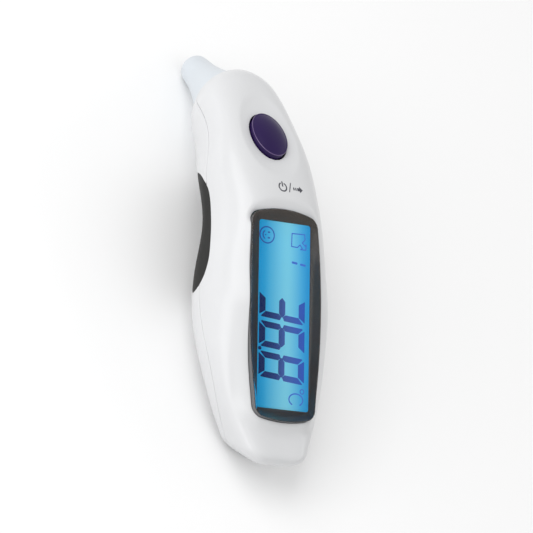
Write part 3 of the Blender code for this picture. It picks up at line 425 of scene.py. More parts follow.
def rounded(across, along, radius):
    """Distance outside a rectangle's corner of a radius, from the distances past its two sides."""
    a, b = across + radius, along + radius
    return np.hypot(np.maximum(a, 0), np.maximum(b, 0)) + np.minimum(np.maximum(a, b), 0) - radius


def oval_level(points, grow=0.0):
    """Distance outside the button's oval, for points in the button's frame."""
    half = np.array(BUTTON_HALF) + grow
    reach = np.hypot(points[..., 0] / half[0], points[..., 1] / half[1])
    slope = np.hypot(points[..., 0] / half[0] ** 2, points[..., 1] / half[1] ** 2) / np.maximum(reach, 1e-6)
    return (reach - 1) / np.maximum(slope, 1e-6)


def smooth_outline(corners, steps=8):
    """A closed Catmull-Rom curve through the corners."""
    corners = np.array(corners, float)
    before, after = np.roll(corners, 1, axis=0), np.roll(corners, -1, axis=0)
    later = np.roll(corners, -2, axis=0)
    curve = []
    for k in range(steps):
        t = k / steps
        curve.append(
            corners + t * (after - before) / 2
            + t**2 * (before - 2.5 * corners + 2 * after - later / 2)
            + t**3 * (1.5 * (corners - after) + (later - before) / 2)
        )
    return np.stack(curve, axis=1).reshape(-1, 2)


def segment_distance(flat, start, end):
    """Distances of flat points from a straight segment."""
    along = np.subtract(end, start)
    share = np.clip((flat - start) @ along / (along @ along), 0, 1)
    return np.linalg.norm(flat - start - share[..., None] * along, axis=-1)


def outline_level(points, outline):
    """Distance outside a closed outline of (a, b) points, for an array of points."""
    best = np.full(points.shape[:-1], np.inf)
    inside = np.zeros(points.shape[:-1], bool)
    for start, end in zip(outline, np.roll(outline, -1, axis=0)):
        best = np.minimum(best, segment_distance(points, start, end))
        crosses = (start[1] > points[..., 1]) != (end[1] > points[..., 1])
        rise = end[1] - start[1] if end[1] != start[1] else 1
        meets = start[0] + (points[..., 1] - start[1]) / rise * (end[0] - start[0])
        inside ^= crosses & (points[..., 0] < meets)
    return np.where(inside, -best, best)


def line_level(points, line, width):
    """Distance outside a stroke of a width with round ends."""
    best = np.full(points.shape[:-1], np.inf)
    for start, end in zip(line, line[1:]):
        best = np.minimum(best, segment_distance(points, np.array(start), np.array(end)))
    return best - width / 2


GRIP_CURVE = smooth_outline(GRIP_OUTLINE)


def grip_level(points):
    return outline_level(points[..., 1:], GRIP_CURVE)


def probe_level(points, radius):
    """Distance outside a cylinder round the probe's axis that ends inside the head."""
    local = moved(PROBE.inverted(), points)
    reach = np.hypot(local[..., 0], local[..., 1]) - radius
    return np.where(local[..., 2] < PROBE_CUT_END, reach, FAR_OFF)


# ---------------- skins cut from a grid, with rims


def clipped(points, level, snap=SNAP):
    """The part of a grid of quads where level is below 0, cut cleanly along level = 0."""
    level = np.where(np.abs(level) < snap, 0, level)
    vertices = []
    known = {}

    def corner(place):
        if place not in known:
            known[place] = len(vertices)
            vertices.append(points[place])
        return known[place]

    def crossing(a, b):
        if level[a] == 0:
            return corner(a)
        if level[b] == 0:
            return corner(b)
        key = (a, b) if a < b else (b, a)
        if key not in known:
            share = level[a] / (level[a] - level[b])
            known[key] = len(vertices)
            vertices.append(points[a] + (points[b] - points[a]) * share)
        return known[key]

    faces = []
    rows, columns = level.shape
    for i in range(rows - 1):
        for j in range(columns - 1):
            ring = ((i, j), (i + 1, j), (i + 1, j + 1), (i, j + 1))
            kept = [level[place] <= 0 for place in ring]
            if not any(kept):
                continue
            face = []
            for k, place in enumerate(ring):
                following = ring[(k + 1) % 4]
                if kept[k]:
                    face.append(corner(place))
                if kept[k] != kept[(k + 1) % 4]:
                    face.append(crossing(place, following))
            face = list(dict.fromkeys(face))
            if len(face) > 2:
                faces.append(face)
    return np.array(vertices), faces


def merged(vertices, faces):
    """One vertex where several lie together, as at a pole, without the faces that this collapses."""
    _, first, index = np.unique(
        np.round(vertices, MERGE_DIGITS), axis=0, return_index=True, return_inverse=True
    )
    index = index.reshape(-1)
    kept = []
    for face in faces:
        ring = list(dict.fromkeys(index[list(face)].tolist()))
        if len(ring) > 2:
            kept.append(ring)
    vertices = vertices[first]
    used = sorted({i for face in kept for i in face})
    order = {old: new for new, old in enumerate(used)}
    return vertices[used], [[order[i] for i in face] for face in kept]


def normals_of(vertices, faces):
    """Vertex normals, weighted by the faces' areas."""
    normals = np.zeros_like(vertices)
    for face in faces:
        ring = vertices[face]
        area = np.cross(ring[1:-1] - ring[0], ring[2:] - ring[0]).sum(axis=0)
        normals[face] += area
    return normals / np.maximum(np.linalg.norm(normals, axis=1, keepdims=True), 1e-12)


def thickened(vertices, faces, radius, thickness, steps=RIM_STEPS):
    """A closed wall: the given skin, rims rounded over along its open edges, and an inner skin."""
    vertices, faces = merged(vertices, faces)
    normals = normals_of(vertices, faces)
    edges = {(face[k], face[(k + 1) % len(face)]) for face in faces for k in range(len(face))}
    open_edges = [(a, b) for a, b in edges if (b, a) not in edges]
    outwards = np.zeros_like(vertices)
    for a, b in open_edges:
        along = vertices[b] - vertices[a]
        side = np.cross(along / np.linalg.norm(along), (normals[a] + normals[b]) / 2)
        outwards[a] += side
        outwards[b] += side
    rim = sorted({a for edge in open_edges for a in edge})
    place = {old: k for k, old in enumerate(rim)}
    aside = outwards[rim] / np.maximum(np.linalg.norm(outwards[rim], axis=1, keepdims=True), 1e-12)
    up = normals[rim]
    count = len(vertices)
    points = [vertices, vertices - normals * thickness]
    for k in range(1, steps + 1):
        turn = math.pi / 2 * k / steps
        points.append(vertices[rim] + aside * radius * math.sin(turn) - up * radius * (1 - math.cos(turn)))
    points.append(vertices[rim] + aside * radius - up * thickness)
    rows = [{a: a for a in rim}]
    for k in range(steps + 1):
        start = 2 * count + k * len(rim)
        rows.append({a: start + place[a] for a in rim})
    rows.append({a: a + count for a in rim})
    closed = [list(face) for face in faces] + [[i + count for i in reversed(face)] for face in faces]
    for upper, lower in zip(rows, rows[1:]):
        closed += [[upper[b], upper[a], lower[a], lower[b]] for a, b in open_edges]
    return np.concatenate(points), closed


def grid_faces(rows, columns):
    """Quads of a grid whose points are numbered row by row, and whose rows are closed rings."""
    faces = []
    for i in range(rows - 1):
        for j in range(columns):
            k = (j + 1) % columns
            faces.append([i * columns + j, (i + 1) * columns + j, (i + 1) * columns + k, i * columns + k])
    return faces


def turned(profile, matrix, stretch=1.0):
    """A (radius, height) profile turned about a frame's z axis, which starts and ends on it or meets."""
    turns = np.linspace(0, math.tau, TURNED_SIDES, endpoint=False)
    radius = np.array([p[0] for p in profile])[:, None]
    height = np.array([p[1] for p in profile])[:, None]
    ring = np.stack(
        [radius * np.cos(turns), radius * stretch * np.sin(turns), height + 0 * turns], axis=-1
    )
    return merged(moved(matrix, ring.reshape(-1, 3)), grid_faces(len(profile), TURNED_SIDES))


# ---------------- materials


def new_material(name):
    material = bpy.data.materials.new(name)
    material.use_nodes = True
    nodes = material.node_tree.nodes
    return material, nodes, material.node_tree.links, nodes["Principled BSDF"]


def fill(node, values):
    """Constants for a node's own sockets."""
    for socket, value in values.items():
        node.inputs[socket].default_value = value


def grey(value):
    return value, value, value, 1


def add_noise(nodes, links, scale, detail):
    """Noise over the object's own coordinates."""
    where = nodes.new("ShaderNodeTexCoord")
    noise = nodes.new("ShaderNodeTexNoise")
    fill(noise, {"Scale": scale, "Detail": detail})
    links.new(where.outputs["Object"], noise.inputs["Vector"])
    return noise


def vary_gloss(nodes, links, shader, noise, least, most):
    """Roughness that follows a noise between two values."""
    gloss = nodes.new("ShaderNodeMapRange")
    fill(gloss, {"To Min": least, "To Max": most})
    links.new(noise.outputs["Fac"], gloss.inputs["Value"])
    links.new(gloss.outputs["Result"], shader.inputs["Roughness"])


def mottled(
    name, colour, roughness, spread=0.03, grain=(0.02, 900), patch=60, metallic=0, coat=0, specular=0.5,
):
    """A moulded, plated or painted surface: faint patches of colour and gloss, and a fine grain."""
    material, nodes, links, shader = new_material(name)
    fill(shader, {"Metallic": metallic, "Specular IOR Level": specular, "Coat Weight": coat})
    patches = add_noise(nodes, links, patch, PATCH_DETAIL)
    tint = nodes.new("ShaderNodeValToRGB")
    for element, place, change in zip(tint.color_ramp.elements, PATCH_TURNS, (1 - spread, 1 + spread)):
        element.position = place
        element.color = (*[min(c * change, 1) for c in colour], 1)
    links.new(patches.outputs["Fac"], tint.inputs["Fac"])
    links.new(tint.outputs["Color"], shader.inputs["Base Color"])
    vary_gloss(nodes, links, shader, patches, *[roughness * share for share in GLOSS_RANGE])
    fine = add_noise(nodes, links, grain[1], GRAIN_DETAIL)
    bump = nodes.new("ShaderNodeBump")
    fill(bump, {"Strength": grain[0], "Distance": GRAIN_DEPTH})
    links.new(fine.outputs["Fac"], bump.inputs["Height"])
    links.new(bump.outputs["Normal"], shader.inputs["Normal"])
    return material


def banded(name, stops, roughness, glow):
    """A back-lit surface whose colour runs across its width: (place, colour) stops."""
    material, nodes, links, shader = new_material(name)
    fill(shader, {"Roughness": roughness, "Emission Strength": glow, "Specular IOR Level": LCD_SPECULAR})
    where = nodes.new("ShaderNodeTexCoord")
    split = nodes.new("ShaderNodeSeparateXYZ")
    links.new(where.outputs["Object"], split.inputs["Vector"])
    across = nodes.new("ShaderNodeMapRange")
    fill(across, {"From Min": -SHOWN_HALF[0] * MM, "From Max": SHOWN_HALF[0] * MM})
    links.new(split.outputs["X"], across.inputs["Value"])
    ramp = nodes.new("ShaderNodeValToRGB")
    ramp.color_ramp.interpolation = "B_SPLINE"
    elements = ramp.color_ramp.elements
    while len(elements) < len(stops):
        elements.new(0.5)
    for element, (place, colour) in zip(elements, stops):
        element.position = place
        element.color = (*colour, 1)
    links.new(across.outputs["Result"], ramp.inputs["Fac"])
    links.new(ramp.outputs["Color"], shader.inputs["Base Color"])
    links.new(ramp.outputs["Color"], shader.inputs["Emission Color"])
    return material


def clear_acrylic(name):
    """Polished clear acrylic, seen through and reflecting, with faint smears."""
    material, nodes, links, shader = new_material(name)
    fill(shader, {"Base Color": grey(1), "IOR": ACRYLIC_IOR, "Transmission Weight": 1})
    fill(shader, {"Specular IOR Level": ACRYLIC_SPECULAR, "Specular Tint": grey(ACRYLIC_TINT)})
    smears = add_noise(nodes, links, SMEAR_SCALE, GRAIN_DETAIL)
    vary_gloss(nodes, links, shader, smears, *SMEAR_GLOSS)
    return material


WHITE = mottled("white_shell", (0.66, 0.665, 0.675), 0.3, 0.012, (0.012, 1400), 40, coat=0.15)
PROBE_WHITE = mottled("white_probe", (0.62, 0.66, 0.70), 0.3, 0.012, (0.012, 1400), 40)
GRIP_DARK = mottled("dark_grip", (0.02, 0.02, 0.019), 0.55, 0.12, (0.12, 2200), 200, specular=0.2)
BORDER_BLACK = mottled("black_print", (0.06, 0.046, 0.037), 0.3, 0.1, (0.01, 900), 80)
# Grey of the lens's side wall: painted light that stands for the shell's light seen through the clear
# acrylic wall.
LENS_SIDE_PAINTED_LIGHT = mottled("lens_side_painted_light", (0.13, 0.13, 0.135), 0.25, 0.03, (0.01, 900), 80)
PURPLE = mottled("purple_button", (0.018, 0.006, 0.062), 0.3, 0.06, (0.01, 1200), 120, specular=0.25)
# Lilac of the bead round the button's edge: a painted highlight where the rounded edge catches the light.
LILAC_PAINTED_HIGHLIGHT = mottled("lilac_painted_highlight", (0.13, 0.08, 0.2), 0.25, 0.05, (0.01, 1200), 120)
INK = mottled("printed_ink", (0.06, 0.06, 0.075), 0.5, 0.08, (0.02, 1500), 300)
# The panel's blue is lighter across the middle of its width. That lighter band is a painted reflection of
# the lens's gloss over the panel's own blue.
LCD_BLUE_PAINTED_REFLECTION = banded(
    "lcd_glass",
    ((0, (0.008, 0.26, 0.55)), (0.2, (0.025, 0.36, 0.64)), (0.55, (0.26, 0.68, 0.78)),
     (0.8, (0.07, 0.43, 0.72)), (1, (0.008, 0.27, 0.62))),
    0.25, 0.4,
)
# The figures' dark blue is lighter a little right of the middle. That is a painted reflection of the lens's
# gloss over the figures' own dark blue.
LCD_INK_PAINTED_REFLECTION = banded(
    "lcd_digits_painted_reflection",
    ((0, (0.002, 0.008, 0.05)), (0.35, (0.012, 0.03, 0.12)), (0.58, (0.06, 0.11, 0.32)),
     (1, (0.008, 0.055, 0.36))),
    0.3, 0.7,
)
LCD_LINE = banded(
    "lcd_icons",
    ((0, (0.01, 0.04, 0.2)), (0.4, (0.04, 0.12, 0.42)), (1, (0.05, 0.13, 0.5))),
    0.3, 0.7,
)
ACRYLIC = clear_acrylic("clear_lens")

# Inside, as for mottled: colour, roughness, spread, grain, patch and how metallic it is.
INNER_FINISHES = {
    "milky_plastic": ((0.66, 0.78, 0.86), 0.45, 0.03),
    "inner_plastic": ((0.62, 0.63, 0.64), 0.5, 0.03),
    "circuit_board": ((0.015, 0.12, 0.05), 0.4, 0.35, (0.05, 1500), 900),
    "chip_black": ((0.02, 0.02, 0.021), 0.55, 0.15, (0.2, 4000), 300),
    "black_rubber": ((0.024, 0.024, 0.024), 0.8, 0.15, (0.2, 2500), 200),
    "steel": ((0.55, 0.55, 0.56), 0.32, 0.06, (0.04, 2500), 300, 1),
    "brass": ((0.68, 0.5, 0.2), 0.32, 0.08, (0.04, 2500), 300, 1),
    "cell_jacket": ((0.07, 0.2, 0.16), 0.35, 0.08, (0.02, 900), 120),
    "amber_film": ((0.55, 0.24, 0.03), 0.35, 0.1, (0.02, 900), 500),
    "sensor_filter": ((0.035, 0.04, 0.05), 0.12, 0.08, (0.005, 900), 300),
}


# ---------------- casing


def scoop_depth(x, y):
    """How far the skin falls towards the top of the window, between the window and an arch above it."""
    past = np.maximum(window_level(x, y), 0)
    reach = np.abs(x / ARCH_HALF[0]) ** ARCH_POWER + np.abs((y - ARCH_Y) / ARCH_HALF[1]) ** ARCH_POWER
    inside = np.clip(1 - reach ** (1 / ARCH_POWER), 0, 1) * ARCH_HALF[1]
    fade = np.clip((y - ARCH_Y) / SCOOP_FADE, 0, 1)
    return SCOOP_DEPTH * inside / np.maximum(inside + past, LEAST_REACH) * fade


def soft_least(a, b, width):
    """The smaller of two heights, blended over a width."""
    mix = np.clip(0.5 + (b - a) / (2 * width), 0, 1)
    return b + (a - b) * mix - width * mix * (1 - mix)


def carved(points):
    """Front skin points, sunk into the dish and the scoop, and raised along the window's lower rim."""
    local = moved(BUTTON.inverted(), points)
    reach = np.hypot(local[..., 0] / DISH_HALF[0], local[..., 1] / DISH_HALF[1])
    bowl = DISH_RISE + DISH_TIP * local[..., 1] + DISH_BANK * np.clip(reach - 1, 0, None)
    bowl = bowl - DISH_HALF[2] * np.sqrt(np.clip(1 - reach**2, 0, 1))
    sunk = soft_least(local[..., 2], bowl, DISH_BLEND)
    local[..., 2] = np.where(reach < DISH_REACH, sunk, local[..., 2])
    points = moved(BUTTON, local)
    points[..., 2] -= scoop_depth(points[..., 0], points[..., 1])
    past = np.clip(window_level(points[..., 0], points[..., 1]) / RIM_LIFT_REACH, 0, 1)
    lower = np.clip(points[..., 1] / LOWER_Y, 0, RIM_LIFT_MOST)
    in_front = np.clip((points[..., 2] - FRONT_Z) / FRONT_BLEND, 0, 1)
    points[..., 2] += RIM_LIFT * lower * (1 - past) ** 2 * (1 + 2 * past) * in_front
    return points


def add_skin(name, vertices, faces, material, body="housing", radius=RIM, thickness=WALL):
    """A thickened skin that stands for the CAD node of the same name."""
    points, closed = thickened(vertices, faces, radius, thickness)
    add_piece(name + "_skin", points, closed, material, body, (name,))


def make_front_shell():
    """The front half of the casing, open at the window, the button, the grip and the probe."""
    turns = np.linspace(0, math.pi, HALF_TURN_POINTS)
    points = carved(body_skin(stations()[:, None], turns[None, :], SEAM + RIM))
    local = moved(BUTTON.inverted(), points)
    near_button = np.abs(local[..., 2]) < NEAR_BUTTON
    level = -window_level(points[..., 0], points[..., 1], -SEAM)
    level = np.where(points[..., 2] > WINDOW_CUT_Z, level, -FAR_OFF)
    level = np.maximum(level, np.where(near_button, -oval_level(local, BUTTON_GAP), -FAR_OFF))
    level = np.maximum(level, -grip_level(points) + SEAM)
    level = np.maximum(level, -probe_level(points, COLLAR_RADIUS + PROBE_GAP))
    vertices, faces = clipped(points, level + RIM)
    add_skin("front_shell", vertices, faces, WHITE)


def back_points():
    turns = np.linspace(-math.pi, 0, HALF_TURN_POINTS)
    return body_skin(stations()[:, None], turns[None, :], -SEAM - RIM)


def cover_level(points):
    """Distance outside the battery cover's two edge planes."""
    local = moved(COVER.inverted(), points)
    return np.maximum(local[..., 1], local[..., 2])


def make_rear_shell():
    """The rear half of the casing, open at the battery cover, the grip and the probe."""
    points = back_points()
    level = -cover_level(points) + SEAM
    level = np.maximum(level, -grip_level(points) + SEAM)
    level = np.maximum(level, -probe_level(points, COLLAR_RADIUS + PROBE_GAP))
    vertices, faces = clipped(points, level + RIM)
    add_skin("rear_shell", vertices, faces, WHITE)


def make_cover():
    """The battery cover, flattened where the device lies on the floor."""
    points = back_points()
    level = cover_level(points) + SEAM
    vertices, faces = clipped(points, level + RIM)
    floor = DEVICE.inverted() @ Vector((0, 0, 0)) / MM
    up = DEVICE.inverted().to_3x3() @ Vector((0, 0, 1))
    height = (vertices - np.array(floor)) @ np.array(up)
    vertices = vertices - np.minimum(height, 0)[:, None] * np.array(up)
    add_skin("battery_cover", vertices, faces, WHITE, body="cover")


def make_grip():
    """The soft insert under the neck, which laps a little way round both sides."""
    turns = np.linspace(-math.pi - GRIP_PAST_PARTING, GRIP_PAST_PARTING, GRIP_POINTS)
    s = stations()
    s = s[(s > GRIP_STATIONS[0]) & (s < GRIP_STATIONS[1])]
    points = body_skin(s[:, None], turns[None, :])
    vertices, faces = clipped(points, grip_level(points) + RIM + SEAM)
    vertices, faces = merged(vertices, faces)
    vertices = vertices - normals_of(vertices, faces) * GRIP_INSET
    add_skin(
        "thumb_grip", vertices, faces, GRIP_DARK, radius=GRIP_RIM, thickness=GRIP_WALL
    )


# ---------------- display


def lens_height(flat):
    """Height of the lens's outer face, before its edge rounds off."""
    y = flat[..., 1]
    edge = LENS_EDGE[0] + LENS_EDGE[1] * y + np.where(y < 0, *LENS_BOW) * y**2
    return edge + LENS_ROUND + LENS_CROWN * (1 - (flat[..., 0] / WINDOW_HALF[0]) ** 2)


def shown_height(flat):
    """Height of the display panel, which the lens makes look flat."""
    outer = lens_height(flat)
    return outer - LENS_BENDING * (outer - SHOWN_PLANE[0] - SHOWN_PLANE[1] * flat[..., 1])


def at_height(flat, height):
    return np.concatenate([flat, np.broadcast_to(height, flat.shape[:-1])[..., None]], axis=-1)


def curve_where(level):
    """Points at even bearings where a level changes sign, seen from the middle of the window."""
    turns = np.linspace(0, math.tau, CURVE_POINTS, endpoint=False) + math.pi / CURVE_POINTS
    aim = np.stack([np.cos(turns) * WINDOW_HALF[0], np.sin(turns) * WINDOW_HALF[1]], axis=-1)
    low, high = np.zeros(CURVE_POINTS), np.full(CURVE_POINTS, CURVE_REACH)
    for _ in range(HALVINGS):
        scale = (low + high) / 2
        inside = level(aim[:, 0] * scale, aim[:, 1] * scale) < 0
        low, high = np.where(inside, scale, low), np.where(inside, high, scale)
    return aim * low[:, None]


def window_curve(shrink):
    return curve_where(lambda x, y: window_level(x, y, shrink))


def shown_curve(grow=0.0):
    half = np.array(SHOWN_HALF) + grow
    return curve_where(lambda x, y: rounded(np.abs(x) - half[0], np.abs(y) - half[1], SHOWN_CORNER + grow))


def ringed(rings):
    """A closed mesh from rings of points, which start and end in a point, or else join end to end."""
    count = len(rings[1])
    rings = [np.broadcast_to(ring, (count, 3)) for ring in rings]
    closed = len(np.unique(rings[0], axis=0)) > 1
    faces = []
    total = len(rings)
    for k in range(total if closed else total - 1):
        a, b = k * count, (k + 1) % total * count
        faces += [[a + i, b + i, b + (i + 1) % count, a + (i + 1) % count] for i in range(count)]
    return merged(np.concatenate(rings), faces)


def lens_top_rings(edge):
    """Rings from the middle of the lens's face, over its rounded shoulder, to its upright side."""
    inner = window_curve(edge + LENS_ROUND)
    rings = []
    for share in np.linspace(0, 1, FACE_RINGS):
        rings.append(at_height(inner * share, lens_height(inner * share)))
    for turn in np.linspace(0, math.pi / 2, SHOULDER_RINGS)[1:]:
        flat = window_curve(edge + LENS_ROUND * (1 - math.sin(turn)))
        rings.append(at_height(flat, lens_height(flat) - LENS_ROUND * (1 - math.cos(turn))))
    return rings


def tray_rings(lift, edge):
    """Rings from the shown picture's edge over the black tray to its raised edge, moved up by lift."""
    inner, outer = shown_curve(), window_curve(edge)
    rings = []
    for share in np.linspace(0, 1, TRAY_RINGS):
        flat = inner + (outer - inner) * share
        rise = np.clip((share - TRAY_FLAT) / (1 - TRAY_FLAT), 0, 1) ** TRAY_POWER
        rim = lens_height(flat) - LENS_ROUND * TRAY_RIM
        low = shown_height(flat) + lift
        rings.append(at_height(flat, low + (rim + lift - low) * rise))
    return rings


def make_lens():
    """The solid clear lens, bonded to the black tray and the panel: its back lies just under their faces."""
    rings = lens_top_rings(SEAM)
    rings += tray_rings(-TRAY_BOND, SEAM + LENS_BACK_INSET)[::-1]
    inner = shown_curve()
    for share in np.linspace(1, 0, BACK_RINGS)[1:]:
        rings.append(at_height(inner * share, shown_height(inner * share) - PANEL_BOND))
    vertices, faces = ringed(rings)
    add_piece("display_lens_solid", vertices, faces, ACRYLIC, "housing", ("display_lens",))


def make_border():
    """The black tray behind the lens, open over the picture."""
    top = tray_rings(TRAY_BOND, SEAM + TRAY_INSET)
    under = [ring - np.array((0, 0, TRAY_THICKNESS)) for ring in top[::-1]]
    vertices, faces = ringed(top + under)
    add_piece("lens_border_tray", vertices, faces, BORDER_BLACK, "housing", ("lens_border",))


def make_lens_side():
    """The lens's side wall, where the lens stands proud of the casing, in opaque grey: painted light for
    what the clear wall lets through.
    """
    outer = window_curve(SEAM)
    inner = window_curve(SEAM + SIDE_THICKNESS)
    top = lens_height(outer) - LENS_ROUND - SIDE_TOP
    foot = np.minimum(front_at(outer[:, 0], outer[:, 1])[:, 2] - SIDE_FOOT, top - SIDE_LEAST)
    rings = [at_height(outer, top), at_height(outer, foot), at_height(inner, foot), at_height(inner, top)]
    vertices, faces = ringed(rings)
    add_piece("lens_side_painted_light", vertices, faces, LENS_SIDE_PAINTED_LIGHT)


def make_lcd():
    """The display's panel, shaped so that its face looks flat through the lens."""
    curve = shown_curve(PANEL_MARGIN)
    rings = []
    for share in np.linspace(0, 1, PANEL_RINGS):
        rings.append(at_height(curve * share, shown_height(curve * share)))
    rings += [ring - np.array((0, 0, LCD_THICKNESS)) for ring in rings[::-1]]
    vertices, faces = ringed(rings)
    add_piece("lcd_panel_shown", vertices, faces, LCD_BLUE_PAINTED_REFLECTION, "housing", ("lcd_panel",))


# ---------------- printed shapes


def printed(name, filled, strokes, spacing, surface, material):
    """Thin raised plates over flat outlines and strokes; surface lays flat points on what they cover."""
    spread = np.concatenate([np.array(shape) for shape in (*filled, *(line for line, _ in strokes))])
    low, high = spread.min(axis=0) - PRINT_MARGIN, spread.max(axis=0) + PRINT_MARGIN
    x = np.arange(low[0], high[0] + spacing, spacing)
    y = np.arange(low[1], high[1] + spacing, spacing)
    flat = np.stack(np.meshgrid(x, y, indexing="ij"), axis=-1)
    level = np.full(flat.shape[:-1], np.inf)
    for outline in filled:
        level = np.minimum(level, outline_level(flat, np.array(outline)))
    for line, width in strokes:
        level = np.minimum(level, line_level(flat, line, width))
    vertices, faces = clipped(flat, level, spacing * PRINT_SNAP)
    points, closed = thickened(surface(vertices), faces, PRINT_THICKNESS / 3, PRINT_THICKNESS, 1)
    add_piece(name, points, closed, material, "housing", ())


def arc(middle, radius, first, last, count):
    """Flat points along an arc, with bearings in degrees."""
    turns = np.radians(np.linspace(first, last, count))
    reach = np.broadcast_to(np.array(radius, float), (2,))
    return np.stack([middle[0] + reach[0] * np.cos(turns), middle[1] + reach[1] * np.sin(turns)], axis=-1)


def figure_outlines(lit, centre):
    """The lit segments of a leaning seven-segment figure, read with its top towards +x."""
    high, wide, gap = FIGURE_HIGH, FIGURE_WIDE, FIGURE_GAP
    bar, side = FIGURE_BAR, FIGURE_SIDE
    half = bar / 2

    def end_bar(top):
        outer, inner, low = wide - FIGURE_BEVEL - gap, wide - side - gap, high - bar
        return [(-outer, high * top), (outer, high * top), (inner, low * top), (-inner, low * top)]

    def upright(left, top):
        points = [(wide, half * FIGURE_FOOT + gap)]
        points += [(wide - inward, high - down - gap) for inward, down in FIGURE_SHOULDER]
        points += [(wide - side, high - bar - gap * FIGURE_CLEAR), (wide - side, half + gap)]
        points.append((wide - side * FIGURE_NOTCH[0], gap * FIGURE_NOTCH[1]))
        return [(a * left, b * top) for a, b in points]

    tip = wide - side * FIGURE_TIP - gap
    middle = [(-tip, 0), (-tip + half, half), (tip - half, half)]
    middle += [(tip, 0), (tip - half, -half), (-tip + half, -half)]
    shapes = {
        "a": end_bar(1), "g": middle, "d": end_bar(-1),
        "b": upright(1, 1), "f": upright(-1, 1), "c": upright(1, -1), "e": upright(-1, -1),
    }
    outlines = []
    for name in lit:
        shape = np.array(shapes[name])
        along = shape[:, 0] + FIGURE_SLOPE * shape[:, 1]
        outlines.append(np.stack([centre[0] + shape[:, 1], centre[1] - along], axis=-1))
    return outlines


def on_lcd(flat):
    return at_height(flat, shown_height(flat) + PRINT_LIFT)


def make_reading():
    """The figures 36.8 in the middle of the display."""
    outlines = []
    for lit, y in FIGURES:
        outlines += figure_outlines(lit, (FIGURE_X, y))
    point = [(POINT_LINE, POINT_WIDTH)]
    printed("lcd_reading", outlines, point, READING_SPACING, on_lcd, LCD_INK_PAINTED_REFLECTION)


def make_icons():
    """A smiling face, an arrow out of a frame, two dashes and the unit."""
    x, y = FACE_AT
    strokes = [(arc(FACE_AT, *FACE_RING), FACE_RING_WIDTH), (arc(FACE_AT, *FACE_MOUTH), FACE_MOUTH_WIDTH)]
    for side in (-1, 1):
        eye = [(x + along, y + side * FACE_EYE_Y) for along in FACE_EYE_X]
        strokes.append((eye, FACE_EYE_WIDTH))
    strokes.append(([(x + along, y) for along in FACE_NOSE_X], FACE_NOSE_WIDTH))
    icons = {
        "lcd_face": strokes,
        "lcd_arrow": [(ARROW_FRAME + ARROW_FRAME[:1], ARROW_WIDTH)],
        "lcd_dashes": [(((a, b), (a + DASH_RUN[0], b + DASH_RUN[1])), DASH_WIDTH) for a, b in DASHES],
        "lcd_unit": [(arc(*UNIT_RING), UNIT_RING_WIDTH), (arc(*UNIT_LETTER), UNIT_LETTER_WIDTH)],
    }
    for name, lines in icons.items():
        printed(name, [], lines, ICON_SPACING, on_lcd, LCD_LINE)


def on_casing(flat):
    return front_at(flat[:, 0], flat[:, 1]) + np.array((0, 0, PRINT_LIFT))


def make_signs():
    """The small signs printed on the casing between the display and the button."""
    x, y = POWER_AT
    strokes = [(arc(POWER_AT, *POWER_RING), POWER_WIDTH)]
    strokes.append(([(x, y + along) for along in POWER_STEM], POWER_WIDTH))
    strokes.append((SLASH, SLASH_WIDTH))
    first, last = SIGN_BAR_ENDS
    bars = []
    for a in SIGN_BARS:
        b = a + SIGN_BAR_WIDTH
        bars.append([(a, first), (b, first), (b, last), (a, last)])
    printed("casing_signs", [*bars, SIGN_ARROW], strokes, SIGN_SPACING, on_casing, INK)


# ---------------- button and probe


def make_button():
    """A domed oval cap with a rounded edge and an upright side, its flange and its stem, and a lilac bead
    round its edge that is a painted highlight.
    """
    wide, flange = BUTTON_HALF[0] - CAP_INSET, BUTTON_HALF[0] + CAP_FLANGE
    brow_radius = wide - CAP_EDGE
    profile = [(0, CAP_TOP)]
    for share in np.linspace(CAP_START, 1, CAP_RINGS):
        profile.append((brow_radius * share, CAP_TOP - (CAP_TOP - CAP_BROW) * share**CAP_DOME))
    for turn in np.linspace(CAP_BLEND[1], math.pi / 2, CAP_EDGE_RINGS):
        height = CAP_BROW + CAP_BLEND[0] - CAP_EDGE * (1 - math.cos(turn))
        profile.append((brow_radius + CAP_EDGE * math.sin(turn), height))
    upper, lower = CAP_FLANGE_Z
    profile += [(wide, upper), (flange, upper), (flange, lower)]
    profile += [(CAP_STEM, lower), (CAP_STEM, CAP_STEM_END), (0, CAP_STEM_END)]
    stretch = BUTTON_HALF[1] / BUTTON_HALF[0]
    vertices, faces = turned(profile, BUTTON, stretch)
    add_piece("scan_button_cap", vertices, faces, PURPLE, "button", ("scan_button",))
    # The lilac bead: a painted highlight where the cap's rounded edge catches the light.
    bead = []
    for turn in np.linspace(0, math.tau, BEAD_POINTS):
        radius = wide - BEAD_INSET + BEAD_HALF[0] * math.cos(turn)
        bead.append((radius, BEAD_MIDDLE + BEAD_HALF[1] * math.sin(turn)))
    vertices, faces = turned(bead[::-1], BUTTON, stretch)
    add_piece("scan_button_painted_highlight", vertices, faces, LILAC_PAINTED_HIGHLIGHT, "button", ())


